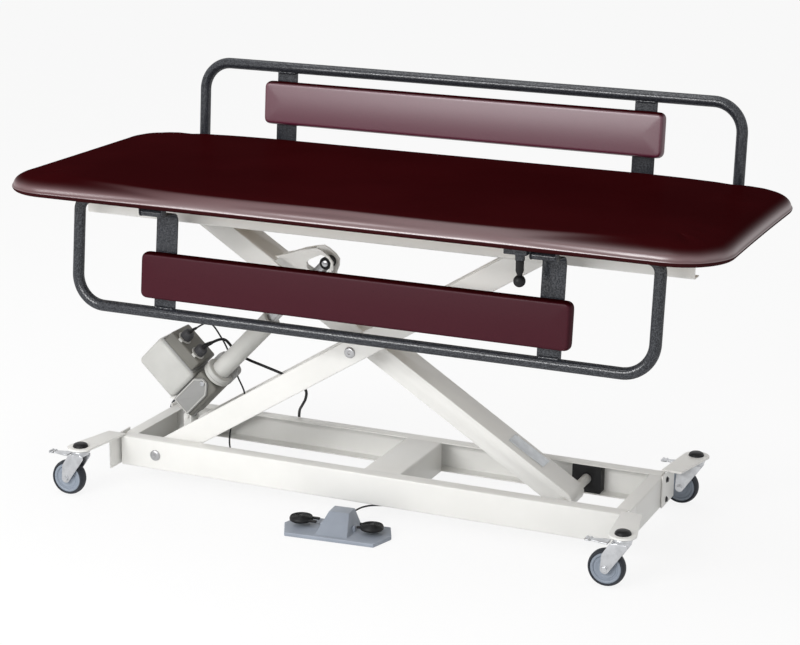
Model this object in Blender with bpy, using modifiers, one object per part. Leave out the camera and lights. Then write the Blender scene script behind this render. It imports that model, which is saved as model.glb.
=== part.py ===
"""Powered treatment table: padded top on a scissor lift, with folding side rails, casters and a foot switch."""
import math

import bmesh
import bpy
from mathutils import Matrix, Vector

# Driving dimensions, in metres. X runs along the top, Y to the back, Z up from the floor.
GAP = 0.0003
OVERRUN = 0.004
RUNNING = 0.0004

# Padded top
TOP_LENGTH = 1.829
TOP_WIDTH = 0.762
TOP_HEIGHT = 0.829
TOP_THICKNESS = 0.050
TOP_CORNER = 0.128
TOP_EDGE = 0.021
TOP_CROWN = 0.003
TOP_DRAWN_IN = 0.001
BOARD_THICKNESS = 0.012
BOARD_MARGIN = 0.030
BOARD_CORNER = 0.098

# Rolled steel channels of the base and of the upper frame
CHANNEL_HALF_SPREAD = 0.1686
CHANNEL_FLANGE = 0.036
CHANNEL_WALL = 0.003
BASE_BOTTOM = 0.0476
BASE_CHANNEL_HEIGHT = 0.0775
BASE_BEYOND_PIVOT = 0.106
BASE_BEYOND_RUN = 0.200
BASE_RAIL_SETBACK = 0.007
MIDDLE_MEMBER_FROM_PIVOT = 0.567
MIDDLE_MEMBER_WIDTH = 0.100
UPPER_CHANNEL_HEIGHT = 0.0737
UPPER_BEYOND_PIVOT = 0.179
UPPER_BEYOND_RUN = 0.335
UPPER_END_SETBACK = 0.040

# Scissor lift
ARM_LENGTH = 1.2456
UPPER_PIVOT_DROP = 0.03198
PIVOT_INSET = 0.3235
LOWER_PIVOT_Z = 0.0864
ARM_OUTER_FACE = 0.130
ARM_THICKNESS = 0.025
ARM_HEIGHT = 0.060
ARM_END = 0.030
BEAM_WIDTH = 0.090
BEAM_HEIGHT = 0.052
BEAM_END = 0.025
SHAFT_RADIUS = 0.010
HEAD_RADIUS = 0.014
HEAD_HEIGHT = 0.005
CROSS_TUBE_RADIUS = 0.012
SLIDE_BLOCK_LENGTH = 0.076
SLIDE_BLOCK_WIDTH = 0.030
SLIDE_BLOCK_EDGE = 0.004
ROLLER_WIDTH = 0.022
ROLLER_SHAFT_RADIUS = 0.009

# Bridge of the inner arm: distances along the arm from its lower pivot and above its centre line
CHEEK_START = 0.740
CHEEK_END = 1.010
LOWER_BEAM_END = 0.785
UPPER_BEAM_START_TOP = 0.930
UPPER_BEAM_START_BOTTOM = 0.985
PLATE_THICKNESS = 0.006
PLATE_PROUD = 0.001
BRIDGE_PIN_ALONG = 0.8233
BRIDGE_PIN_ABOVE = 0.0922
BRIDGE_HALF_WIDTH = 0.022
BRIDGE_PLATE = 0.005
BRIDGE_STRAP = 0.005
BRIDGE_INSET = 0.0008
BRIDGE_EDGE = ((0.762, 0.018), (0.781, 0.045), (0.7955, 0.078), (0.799, 0.096), (0.807, 0.1105), (0.8226, 0.116),
               (0.8425, 0.117), (0.860, 0.1145), (0.876, 0.100), (0.895, 0.080), (0.916, 0.053), (0.938, 0.0285),
               (0.965, 0.018), (0.940, 0.018), (0.922, 0.034), (0.800, 0.034), (0.780, 0.018))
BRIDGE_NEAR_WINDOW = ((0.812, 0.056), (0.8553, 0.054), (0.8646, 0.0666), (0.8625, 0.0763), (0.8528, 0.092),
                      (0.8431, 0.106), (0.833, 0.1098), (0.8205, 0.1101), (0.810, 0.105), (0.8055, 0.094),
                      (0.8065, 0.080))
BRIDGE_FAR_WINDOW = ((0.806, 0.050), (0.868, 0.044), (0.877, 0.050), (0.874, 0.057), (0.8645, 0.071), (0.855, 0.0865),
                     (0.845, 0.098), (0.8365, 0.094), (0.8345, 0.086), (0.8285, 0.0795), (0.8200, 0.0790),
                     (0.8130, 0.0835), (0.8060, 0.078))
PIN_HEAD_RADIUS = 0.0115
PIN_HEAD_HEIGHT = 0.004

# Actuator: the foot pin, the place where the rod's axis passes it, and distances along and above that axis
FOOT_PIN_FROM_PIVOT = 0.013
FOOT_PIN_Z = 0.150
AXIS_FROM_PIVOT = -0.017
AXIS_Z = 0.1561
FOOT_PIN_RADIUS = 0.005
FOOT_EAR_RADIUS = 0.011
FOOT_EAR_THICKNESS = 0.006
FOOT_EAR_SPACE = 0.030
FOOT_HALF_WIDTH = 0.045
FOOT_PLATE_LENGTH = 0.135
FOOT_PLATE_THICKNESS = 0.005
FOOT_SHOULDER_Z = 0.112
FOOT_SKIRT_TOP = 0.095
FOOT_SKIRT_LEFT = 0.018
FOOT_SKIRT_RIGHT = 0.030
TAIL_RADIUS = 0.010
GEAR_START = 0.029
GEAR_END = 0.146
GEAR_BOTTOM = -0.036
GEAR_HALF_WIDTH = 0.036
GEAR_ROUNDING = 0.007
LID_END = 0.126
LID_LOW = -0.026
LID_HIGH = 0.029
LID_THICKNESS = 0.006
MOTOR_START = 0.029
MOTOR_SPLIT = 0.129
MOTOR_END = 0.164
MOTOR_BOTTOM = 0.0315
MOTOR_TOP = 0.166
MOTOR_CONTROL_BOTTOM = 0.046
MOTOR_CONTROL_TOP = 0.154
MOTOR_HALF_WIDTH = 0.048
MOTOR_ROUNDING = 0.012
PLUG_RADIUS = 0.0155
PLUG_LENGTH = 0.026
PLUG_Y = -0.018
PLUG_HEIGHTS = (0.123, 0.071)
NECK_RADIUS = 0.030
COLLAR_START = 0.151
COLLAR_END = 0.173
COLLAR_RADIUS = 0.038
FLANGE_END = 0.203
FLANGE_HALF = 0.037
FLANGE_DEPTH = (0.010, 0.036)
TUBE_RADIUS = 0.025
TUBE_END = 0.388
ROD_RADIUS = 0.014
BORE_START = 0.190
ROD_START = 0.295
ROD_EYE_RADIUS = 0.016
ROD_EYE_BORE = 0.007

# Casters and corner brackets
CASTER_OUTBOARD = 0.0335
CASTER_SPREAD = 0.300
CASTER_TRAIL = 0.035
WHEEL_RADIUS = 0.045
WHEEL_WIDTH = 0.028
HUB_WIDTH = 0.030
AXLE_RADIUS = 0.004
FORK_GAP = 0.0015
FORK_PLATE = 0.003
FORK_HALF = 0.014
FORK_CROWN_TOP = 0.113
FORK_CROWN_BOTTOM = 0.097
FORK_FRONT = 0.022
FORK_BACK = 0.030
SWIVEL_HEAD_RADIUS = 0.022
STEM_RADIUS = 0.008
CAP_RADIUS = 0.0195
CAP_HEIGHT = 0.010
PEDAL_HINGE_BACK = 0.036
PEDAL_HINGE_Z = 0.1045
PEDAL_HALF_THICKNESS = 0.0052
PEDAL_TIP_BACK = 0.0865
PEDAL_TIP_RISE = 0.003
PEDAL_WIDTH = 0.030
BRACKET_THICKNESS = 0.005
BRACKET_INNER = 0.160
BRACKET_INBOARD = 0.015
BRACKET_OUTBOARD = 0.035
BRACKET_NOSE_RADIUS = 0.033
BRACKET_FLANGE = 0.004
BRACKET_FLANGE_INNER = 0.110
BRACKET_FLANGE_OUTER = 0.2105
BOLT_RADIUS = 0.006
BOLT_HEIGHT = 0.005
BOLT_SPREAD = 0.145
BOLT_MARGIN = 0.013

# Side rails
RAIL_PIVOT_INSET = 0.0616
RAIL_PIVOT_DROP = 0.0193
RAIL_TUBE_RADIUS = 0.01425
RAIL_HALF_LENGTH = 0.744
RAIL_REACH = 0.2548
RAIL_RETURN = -0.010
RAIL_OFFSET = 0.0754
RAIL_BEND = 0.075
RAIL_LOWERED_TILT = math.radians(5.77)
RAIL_RAISED_TILT = math.radians(3.90)
STRAP_X = 0.497
STRAP_WIDTH = 0.058
STRAP_THICKNESS = 0.005
STRAP_BEND = 0.020
STRAP_LEG = 0.0065
BARREL_RADIUS = 0.009
HINGE_PIN_RADIUS = 0.004
BOLSTER_HALF_LENGTH = 0.5535
BOLSTER_FROM = 0.103
BOLSTER_TO = 0.219
BOLSTER_THICKNESS = 0.030
BOLSTER_CORNER = 0.014
BOLSTER_EDGE = 0.009
BOLSTER_CROWN = 0.003
HINGE_PLATE_LEFT = (0.411, 0.529)
HINGE_PLATE_RIGHT = (0.412, 0.550)
HINGE_PLATE_THICKNESS = 0.005
HINGE_PLATE_OUTBOARD = 0.0256
HINGE_PLATE_INBOARD = 0.0574
HINGE_EAR_THICKNESS = 0.003
HINGE_EAR_RADIUS = 0.010
PLUNGER_X = 0.440
PLUNGER_BOSS_RADIUS = 0.011
PLUNGER_BOSS_DROP = 0.034
PLUNGER_BORE_DROP = 0.011
PLUNGER_STEM_RADIUS = 0.004
PLUNGER_STEM_DROP = 0.019
PLUNGER_KNOB_RADIUS = 0.014
PLUNGER_KNOB_DROP = 0.082

# Foot switch
SWITCH_X = -0.032
SWITCH_Y = -0.2635
SWITCH_TURN = math.radians(5.0)
SWITCH_BASE_THICKNESS = 0.010
SWITCH_FRONT = -0.064
SWITCH_BACK = 0.057
SWITCH_HALF_FRONT = 0.114
SWITCH_HALF_BACK = 0.117
SWITCH_HALF_MIDDLE = 0.138
SWITCH_TOP = 0.052
HOUSING_HALF_FOOT = 0.043
HOUSING_HALF_TOP = 0.026
HOUSING_FRONT_TOP = 0.004
HOUSING_BACK_TOP = 0.046
HOUSING_SHIFT = 0.002
PEDAL_DISC_RADIUS = 0.029
PEDAL_DISC_X = (0.094, 0.088)
PEDAL_LUG = 0.007
SWITCH_CORD_PLACE = (0.018, 0.0490)
SWITCH_CORD_Z = 0.036
PEDAL_DISC_BOTTOM = 0.022
PEDAL_DISC_THICKNESS = 0.010
PEDAL_ARM_HALF_WIDTH = 0.007

# Cords: routes are hand chosen points in the table's own frame, smoothed below
MAINS_DIAMETER = 0.0074
SWITCH_CORD_DIAMETER = 0.0044
COIL_TURNS = 6
COIL_RADIUS = 0.0444
COIL_PITCH = 0.0092
COIL_RISE = 0.0083
COIL_X = -0.245
COIL_Y = 0.365
COIL_TAIL = 0.050
PLUG_BODY_LENGTH = 0.042
PLUG_BODY_WIDTH = 0.030
PLUG_BODY_HEIGHT = 0.022
PLUG_BLADE_SPREAD = 0.00635
PLUG_BLADE_THICKNESS = 0.0015
PLUG_BLADE_WIDTH = 0.0065
PLUG_BLADE_LENGTH = 0.017

# Places that follow the pad: the pivots at its left end and the heights under it
PIVOT_X = PIVOT_INSET - TOP_LENGTH / 2
BASE_LEFT = PIVOT_X - BASE_BEYOND_PIVOT
MIDDLE_MEMBER_LEFT = PIVOT_X + MIDDLE_MEMBER_FROM_PIVOT
FOOT_PIN_X = PIVOT_X + FOOT_PIN_FROM_PIVOT
AXIS_X = PIVOT_X + AXIS_FROM_PIVOT
TOP_UNDERSIDE = TOP_HEIGHT - TOP_THICKNESS
UPPER_PIVOT_Z = TOP_UNDERSIDE - UPPER_PIVOT_DROP
ARM_ANGLE = math.asin((UPPER_PIVOT_Z - LOWER_PIVOT_Z) / ARM_LENGTH)
RAIL_PIVOT_SPREAD = TOP_WIDTH / 2 - RAIL_PIVOT_INSET
RAIL_PIVOT_Z = TOP_UNDERSIDE - RAIL_PIVOT_DROP
HINGE_PLATE_OUTER = RAIL_PIVOT_SPREAD + HINGE_PLATE_OUTBOARD
HINGE_PLATE_INNER = RAIL_PIVOT_SPREAD - HINGE_PLATE_INBOARD
PLUNGER_BOSS_BOTTOM = TOP_UNDERSIDE - PLUNGER_BOSS_DROP
PLUNGER_BORE_TOP = TOP_UNDERSIDE - PLUNGER_BORE_DROP
PLUNGER_STEM_TOP = TOP_UNDERSIDE - PLUNGER_STEM_DROP
PLUNGER_KNOB_Z = TOP_UNDERSIDE - PLUNGER_KNOB_DROP

# The top's centre sits forward of the origin by half of what the raised rail adds at the back
RAISED_EDGE = (RAIL_PIVOT_SPREAD + RAIL_REACH * math.sin(RAIL_RAISED_TILT)
               + RAIL_OFFSET * math.cos(RAIL_RAISED_TILT) + RAIL_TUBE_RADIUS)
CENTRE_Y = -(RAISED_EDGE - TOP_WIDTH / 2) / 2
HALF_ARM = ARM_LENGTH / 2
RUN_X = PIVOT_X + ARM_LENGTH * math.cos(ARM_ANGLE)
BASE_RIGHT = RUN_X + BASE_BEYOND_RUN
UPPER_LEFT = PIVOT_X - UPPER_BEYOND_PIVOT
UPPER_RIGHT = RUN_X + UPPER_BEYOND_RUN
CENTRE_PIVOT = (PIVOT_X + HALF_ARM * math.cos(ARM_ANGLE), 0.0, LOWER_PIVOT_Z + HALF_ARM * math.sin(ARM_ANGLE))
BASE_TOP = BASE_BOTTOM + BASE_CHANNEL_HEIGHT
UPPER_TOP = TOP_UNDERSIDE - GAP
UPPER_BOTTOM = UPPER_TOP - UPPER_CHANNEL_HEIGHT
FLANGE_TIP = CHANNEL_HALF_SPREAD - CHANNEL_FLANGE
WEB_INSIDE = CHANNEL_HALF_SPREAD - CHANNEL_WALL
PLATE_UNDERSIDE = BASE_TOP + GAP
PLATE_TOP = PLATE_UNDERSIDE + BRACKET_THICKNESS

for leftover in list(bpy.data.objects):
    bpy.data.objects.remove(leftover, do_unlink=True)

PARTS = bpy.data.collections.new("treatment_table")
CUTTERS = bpy.data.collections.new("cutters")
bpy.context.scene.collection.children.link(PARTS)
bpy.context.scene.collection.children.link(CUTTERS)

# Plate frames: a flat outline drawn in XY is turned to stand along or across the table
FLAT = Matrix.Identity(4)
UPRIGHT = Matrix.Rotation(math.pi / 2, 4, "X")
ENDWISE = Matrix(((0, 0, 1, 0), (1, 0, 0, 0), (0, 1, 0, 0), (0, 0, 0, 1)))


def finish(name, colour, roughness, metallic=0.0):
    """A plain Principled material."""
    material = bpy.data.materials.new(name)
    material.use_nodes = True
    shader = material.node_tree.nodes["Principled BSDF"]
    shader.inputs["Base Color"].default_value = (*colour, 1.0)
    shader.inputs["Roughness"].default_value = roughness
    shader.inputs["Metallic"].default_value = metallic
    return material


ALMOND = finish("almond_paint", (0.78, 0.77, 0.72), 0.4)
HAMMERTONE = finish("grey_hammertone", (0.10, 0.105, 0.115), 0.45, 0.3)
VINYL = finish("maroon_vinyl", (0.030, 0.004, 0.010), 0.35)
BOARD = finish("board", (0.32, 0.22, 0.13), 0.7)
ZINC = finish("zinc_plate", (0.55, 0.56, 0.58), 0.35, 1.0)
STEEL = finish("shaft_steel", (0.45, 0.45, 0.46), 0.3, 1.0)
BLACK_PLASTIC = finish("black_plastic", (0.015, 0.015, 0.016), 0.45)
TYRE = finish("wheel_grey", (0.16, 0.16, 0.18), 0.55)
LIGHT_CASING = finish("light_casing", (0.62, 0.62, 0.62), 0.4)
GREY_CASING = finish("grey_casing", (0.33, 0.33, 0.34), 0.45)
SWITCH_GREY = finish("switch_grey", (0.30, 0.33, 0.38), 0.5)
CORD_BLACK = finish("cord_black", (0.012, 0.012, 0.012), 0.5)


def pivot(name, place, parent=None, turn=(0.0, 0.0, 0.0)):
    """An empty on a joint's axis, which carries the pieces that move with it."""
    empty = bpy.data.objects.new(name, None)
    empty.location = place
    empty.rotation_euler = turn
    empty.parent = parent
    PARTS.objects.link(empty)
    return empty


def keep(piece, home, material, group=PARTS):
    """Links a piece under its carrier with its material."""
    group.objects.link(piece)
    piece.parent = home
    piece.data.materials.clear()
    piece.data.materials.append(material)
    return piece


def from_bmesh(name, shape, home, material):
    """Turns a bmesh into a named piece."""
    mesh = bpy.data.meshes.new(name)
    shape.normal_update()
    shape.to_mesh(mesh)
    shape.free()
    return keep(bpy.data.objects.new(name, mesh), home, material)


def box(name, low, high, home, material, rounding=0.0, segments=2):
    """A box between two corners, with rounded edges where a radius is given."""
    shape = bmesh.new()
    bmesh.ops.create_cube(shape, size=1.0)
    size = Vector(high) - Vector(low)
    middle = (Vector(high) + Vector(low)) / 2
    bmesh.ops.transform(shape, matrix=Matrix.LocRotScale(middle, None, size), verts=shape.verts)
    piece = from_bmesh(name, shape, home, material)
    if rounding:
        bevel = piece.modifiers.new("rounding", "BEVEL")
        bevel.width = rounding
        bevel.segments = segments
    return piece


def rod(name, start, end, radius, home, material, sides=16):
    """A round bar between two points."""
    shape = bmesh.new()
    along = Vector(end) - Vector(start)
    bmesh.ops.create_cone(shape, cap_ends=True, segments=sides, radius1=radius, radius2=radius,
                          depth=along.length)
    turn = along.to_track_quat("Z", "Y")
    middle = (Vector(start) + Vector(end)) / 2
    bmesh.ops.transform(shape, matrix=Matrix.LocRotScale(middle, turn, None), verts=shape.verts)
    return from_bmesh(name, shape, home, material)


def turned(name, profile, home, material, place=(0.0, 0.0, 0.0), axis="Z", steps=16, ring=False):
    """A turned piece: its profile of (radius, height), listed down the outer side, spun on a Screw."""
    mesh = bpy.data.meshes.new(name)
    corners = [(radius, 0.0, height) for radius, height in profile]
    edges = [(index, index + 1) for index in range(len(corners) - 1)]
    if ring:
        edges.append((len(corners) - 1, 0))
    mesh.from_pydata(corners, edges, [])
    piece = keep(bpy.data.objects.new(name, mesh), home, material)
    piece.location = place
    if axis == "Y":
        piece.rotation_euler = (math.pi / 2, 0.0, 0.0)
    if axis == "X":
        piece.rotation_euler = (0.0, math.pi / 2, 0.0)
    spin = piece.modifiers.new("spin", "SCREW")
    spin.steps = steps
    spin.render_steps = steps
    spin.use_merge_vertices = True
    spin.merge_threshold = 0.00001
    return piece


def to_mesh(piece):
    """Replaces a curve object by its welded mesh, so that it can be cut and joined."""
    bpy.context.view_layer.update()
    evaluated = piece.evaluated_get(bpy.context.evaluated_depsgraph_get())
    mesh = bpy.data.meshes.new_from_object(evaluated)
    shape = bmesh.new()
    shape.from_mesh(mesh)
    bmesh.ops.remove_doubles(shape, verts=shape.verts, dist=0.00001)
    bmesh.ops.recalc_face_normals(shape, faces=shape.faces)
    shape.to_mesh(mesh)
    shape.free()
    name = piece.name
    solid = bpy.data.objects.new(name, mesh)
    solid.matrix_local = piece.matrix_local
    home = piece.parent
    material = piece.data.materials[0]
    bpy.data.objects.remove(piece, do_unlink=True)
    solid.name = name
    return keep(solid, home, material)


def plate(name, outlines, thickness, frame, home, material):
    """A flat plate: its edge and then its holes, drawn in the frame's XY and centred on that plane."""
    curve = bpy.data.curves.new(name, "CURVE")
    curve.dimensions = "2D"
    curve.fill_mode = "BOTH"
    curve.extrude = thickness / 2
    for outline in outlines:
        spline = curve.splines.new("POLY")
        spline.points.add(len(outline) - 1)
        spline.use_cyclic_u = True
        for point, (across, up) in zip(spline.points, outline):
            point.co = (across, up, 0.0, 1.0)
    piece = keep(bpy.data.objects.new(name, curve), home, material)
    piece.matrix_local = frame
    return to_mesh(piece)


def tube(name, points, radius, home, material, closed=False, resolution=3):
    """A round tube along a list of points."""
    curve = bpy.data.curves.new(name, "CURVE")
    curve.dimensions = "3D"
    curve.bevel_depth = radius
    curve.bevel_resolution = resolution
    curve.use_fill_caps = not closed
    spline = curve.splines.new("POLY")
    spline.points.add(len(points) - 1)
    spline.use_cyclic_u = closed
    for point, place in zip(spline.points, points):
        point.co = (*place, 1.0)
    return to_mesh(keep(bpy.data.objects.new(name, curve), home, material))


def joined(piece, *others):
    """Unites the other solids with the piece, so that it is one body."""
    return combine(piece, others, "UNION")


def cut(piece, *others):
    """Cuts the other solids out of the piece."""
    return combine(piece, others, "DIFFERENCE")


def combine(piece, others, operation):
    for other in others:
        PARTS.objects.unlink(other)
        CUTTERS.objects.link(other)
        other.hide_render = True
        other.display_type = "WIRE"
        step = piece.modifiers.new(other.name, "BOOLEAN")
        step.operation = operation
        step.object = other
    return piece


def arc(centre, radius, start, end, steps):
    """Points on an arc, angles in radians, both ends included."""
    angles = [start + (end - start) * index / steps for index in range(steps + 1)]
    return [(centre[0] + radius * math.cos(angle), centre[1] + radius * math.sin(angle)) for angle in angles]


def circle(centre, radius, sides=16):
    """A closed round outline."""
    return arc(centre, radius, 0.0, 2 * math.pi, sides)[:-1]


def rounded_rectangle(low, high, radius, steps=4):
    """A rectangle's outline with round corners."""
    corners = []
    for centre, start in (((high[0] - radius, high[1] - radius), 0.0),
                          ((low[0] + radius, high[1] - radius), math.pi / 2),
                          ((low[0] + radius, low[1] + radius), math.pi),
                          ((high[0] - radius, low[1] + radius), 3 * math.pi / 2)):
        corners += arc(centre, radius, start, start + math.pi / 2, steps)
    return corners


def strip(path, thickness):
    """The outline of a bent strip of one thickness along a path of (a, b) points."""
    sides = ([], [])
    for index, point in enumerate(path):
        before = Vector(path[max(index - 1, 0)])
        after = Vector(path[min(index + 1, len(path) - 1)])
        normal = (after - before).orthogonal().normalized() * thickness / 2
        sides[0].append(tuple(Vector(point) + normal))
        sides[1].append(tuple(Vector(point) - normal))
    return sides[0] + sides[1][::-1]


def smooth_route(points, spacing):
    """Even points along a smooth curve through the route's own points."""
    route = [Vector(point) for point in points]
    ends = [route[0] * 2 - route[1]] + route + [route[-1] * 2 - route[-2]]
    dense = []
    per_span = 16
    for index in range(1, len(ends) - 2):
        before, start, end, after = ends[index - 1:index + 3]
        for step in range(per_span):
            share = step / per_span
            dense.append(0.5 * (2 * start + (end - before) * share
                                + (2 * before - 5 * start + 4 * end - after) * share ** 2
                                + (3 * start - before - 3 * end + after) * share ** 3))
    dense.append(route[-1])
    total = sum((b - a).length for a, b in zip(dense, dense[1:]))
    count = max(2, round(total / spacing))
    picked = [dense[0]]
    travelled = 0.0
    for a, b in zip(dense, dense[1:]):
        span = (b - a).length
        while len(picked) < count and travelled + span >= total * len(picked) / count:
            picked.append(a.lerp(b, (total * len(picked) / count - travelled) / span))
        travelled += span
    picked.append(dense[-1])
    return picked, total


def padded_block(name, length, width, thickness, corner, edge, crown, drawn_in, home, material, steps=5):
    """A cushion centred on its underside: rolled edges, a crowned face and sides that draw in."""
    outline = rounded_rectangle((-length / 2, -width / 2), (length / 2, width / 2), corner, steps)
    shape = bmesh.new()
    rings = []
    roll = 4
    for index in range(roll + 1):
        angle = math.pi / 2 * index / roll
        rings.append((edge * (1 - math.sin(angle)), edge * (1 - math.cos(angle))))
    lower = [(inset, height) for inset, height in rings]
    upper = [(inset, thickness - height) for inset, height in rings[::-1]]
    middle_width = width / 2 - edge
    crown_shares = ((0.25, 0.55), (0.55, 0.85), (0.80, 1.0))
    upper += [(edge + middle_width * inset, thickness + crown * rise) for inset, rise in crown_shares]
    loops = []
    for inset, height in lower + upper:
        loop = []
        for x, y in outline:
            along = max(abs(x) - (length / 2 - corner), 0.0)
            across = max(abs(y) - (width / 2 - corner), 0.0)
            reach = math.hypot(along, across)
            if inset <= corner * 0.9:
                scale = (reach - inset) / reach if reach else 1.0
                flat_x = math.copysign(min(abs(x), length / 2 - corner) + along * scale, x)
                flat_y = math.copysign(min(abs(y), width / 2 - corner) + across * scale, y)
            else:
                flat_x = x * (length / 2 - inset) / (length / 2)
                flat_y = y * (width / 2 - inset) / (width / 2)
            draw = drawn_in * (1 - (2 * y / width) ** 2) if along else drawn_in * (1 - (2 * x / length) ** 2)
            pull = draw * (1 - min(inset / edge, 1.0))
            if along > across:
                flat_x -= math.copysign(pull, x)
            else:
                flat_y -= math.copysign(pull, y)
            loop.append(shape.verts.new((flat_x, flat_y, height)))
        loops.append(loop)
    for below, above in zip(loops, loops[1:]):
        for index in range(len(below)):
            following = (index + 1) % len(below)
            shape.faces.new((below[index], below[following], above[following], above[index]))
    shape.faces.new(loops[0][::-1])
    shape.faces.new(loops[-1])
    return from_bmesh(name, shape, home, material)


def channel_outline(side, bottom, top):
    """Section of a C channel in (y, z), its open side towards the middle."""
    web = side * CHANNEL_HALF_SPREAD
    inside = side * WEB_INSIDE
    tip = side * FLANGE_TIP
    return [(web, bottom), (web, top), (tip, top), (tip, top - CHANNEL_WALL), (inside, top - CHANNEL_WALL),
            (inside, bottom + CHANNEL_WALL), (tip, bottom + CHANNEL_WALL), (tip, bottom)]


def channel(name, left, right, side, bottom, top, home):
    """A C rail along X, on one side of the table."""
    frame = Matrix.Translation(((left + right) / 2, 0.0, 0.0)) @ ENDWISE
    return plate(name, [channel_outline(side, bottom, top)], right - left, frame, home, ALMOND)


def end_channel(name, face, inward, bottom, top, home):
    """A C member across the table between the rails; its web's outer face is at the given X."""
    web = face + inward * CHANNEL_WALL
    tip = face + inward * CHANNEL_FLANGE
    section = [(face, bottom), (face, top), (tip, top), (tip, top - CHANNEL_WALL), (web, top - CHANNEL_WALL),
               (web, bottom + CHANNEL_WALL), (tip, bottom + CHANNEL_WALL), (tip, bottom)]
    return plate(name, [section], 2 * (FLANGE_TIP - GAP), UPRIGHT, home, ALMOND)


def pivot_hole(name, x, z, side, radius, home):
    """A cutter through a rail's web."""
    return rod(name, (x, side * (WEB_INSIDE - OVERRUN), z), (x, side * (CHANNEL_HALF_SPREAD + OVERRUN), z),
               radius + RUNNING, home, STEEL)


def shaft(name, x, z, half_length, radius, home, head_radius=0.0):
    """A shaft across the table, with a head beyond each end where a head radius is given."""
    profile = [(0.0, half_length), (radius, half_length), (radius, -half_length), (0.0, -half_length)]
    if head_radius:
        end = half_length + HEAD_HEIGHT
        profile = [(0.0, end), (head_radius * 0.8, end), (head_radius, half_length + HEAD_HEIGHT / 2),
                   (head_radius, half_length), (radius, half_length), (radius, -half_length),
                   (head_radius, -half_length), (head_radius, -half_length - HEAD_HEIGHT / 2),
                   (head_radius * 0.8, -end), (0.0, -end)]
    return turned(name, profile, home, STEEL, (x, 0.0, z), "Y")


def base_frame(home):
    """The welded base: two rails, two end members, a middle member and the shaft of the lower pivot."""
    for name, side in (("near", -1), ("far", 1)):
        rail = channel("base_rail_" + name, BASE_LEFT + BASE_RAIL_SETBACK, BASE_RIGHT - BASE_RAIL_SETBACK, side,
                       BASE_BOTTOM, BASE_TOP, home)
        cut(rail, pivot_hole("base_hole_" + name, PIVOT_X, LOWER_PIVOT_Z, side, SHAFT_RADIUS, home))
    end_channel("base_end_left", BASE_LEFT, 1, BASE_BOTTOM, BASE_TOP, home)
    end_channel("base_end_right", BASE_RIGHT, -1, BASE_BOTTOM, BASE_TOP, home)
    left = MIDDLE_MEMBER_LEFT
    right = left + MIDDLE_MEMBER_WIDTH
    section = [(left, BASE_BOTTOM), (left, BASE_TOP), (right, BASE_TOP), (right, BASE_BOTTOM),
               (right - CHANNEL_WALL, BASE_BOTTOM), (right - CHANNEL_WALL, BASE_TOP - CHANNEL_WALL),
               (left + CHANNEL_WALL, BASE_TOP - CHANNEL_WALL), (left + CHANNEL_WALL, BASE_BOTTOM)]
    plate("base_middle_member", [section], 2 * (FLANGE_TIP - GAP), UPRIGHT, home, ALMOND)
    shaft("lower_pivot_shaft", PIVOT_X, LOWER_PIVOT_Z, CHANNEL_HALF_SPREAD + GAP, SHAFT_RADIUS, home, HEAD_RADIUS)


def corner_bracket(name, face, outward, side, home):
    """A splayed plate for one caster, with the flange that is bolted to the base's end."""
    caster_x = face + outward * CASTER_OUTBOARD
    inner = [(face - outward * BRACKET_INBOARD, BRACKET_INNER), (face + outward * BRACKET_OUTBOARD, BRACKET_INNER)]
    nose = arc((caster_x, CASTER_SPREAD), BRACKET_NOSE_RADIUS, 0.0, math.pi, 10)
    if outward < 0:
        inner = inner[::-1]
    outline = [(x, side * y) for x, y in inner + nose]
    middle = (PLATE_UNDERSIDE + PLATE_TOP) / 2
    bracket = plate(name, [outline], BRACKET_THICKNESS, Matrix.Translation((0.0, 0.0, middle)), home, ALMOND)
    near_face = face + outward * GAP
    far_face = near_face + outward * BRACKET_FLANGE
    inner_y = side * BRACKET_FLANGE_INNER
    outer_y = side * BRACKET_FLANGE_OUTER
    flange = box(name + "_flange", (min(near_face, far_face), min(inner_y, outer_y), BASE_BOTTOM + GAP),
                 (max(near_face, far_face), max(inner_y, outer_y), PLATE_TOP), home, ALMOND)
    bolts = []
    for row, height in enumerate((BASE_BOTTOM + BOLT_MARGIN, BASE_TOP - BOLT_MARGIN)):
        start = (far_face - outward * BRACKET_FLANGE / 2, side * BOLT_SPREAD, height)
        end = (far_face + outward * BOLT_HEIGHT, side * BOLT_SPREAD, height)
        bolts.append(rod(f"{name}_bolt_{row}", start, end, BOLT_RADIUS, home, ALMOND, 6))
    joined(bracket, flange, *bolts)
    stem = rod(name + "_stem_hole", (caster_x, side * CASTER_SPREAD, PLATE_UNDERSIDE - OVERRUN),
               (caster_x, side * CASTER_SPREAD, PLATE_TOP + OVERRUN), STEM_RADIUS + RUNNING, home, ALMOND)
    return cut(bracket, stem)


def capsule(start, end, start_radius, end_radius, steps=8):
    """Outline of a bar with a round end at each of two points."""
    angle = math.atan2(end[1] - start[1], end[0] - start[0])
    return (arc(start, start_radius, angle + math.pi / 2, angle + 3 * math.pi / 2, steps)
            + arc(end, end_radius, angle - math.pi / 2, angle + math.pi / 2, steps))


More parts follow.
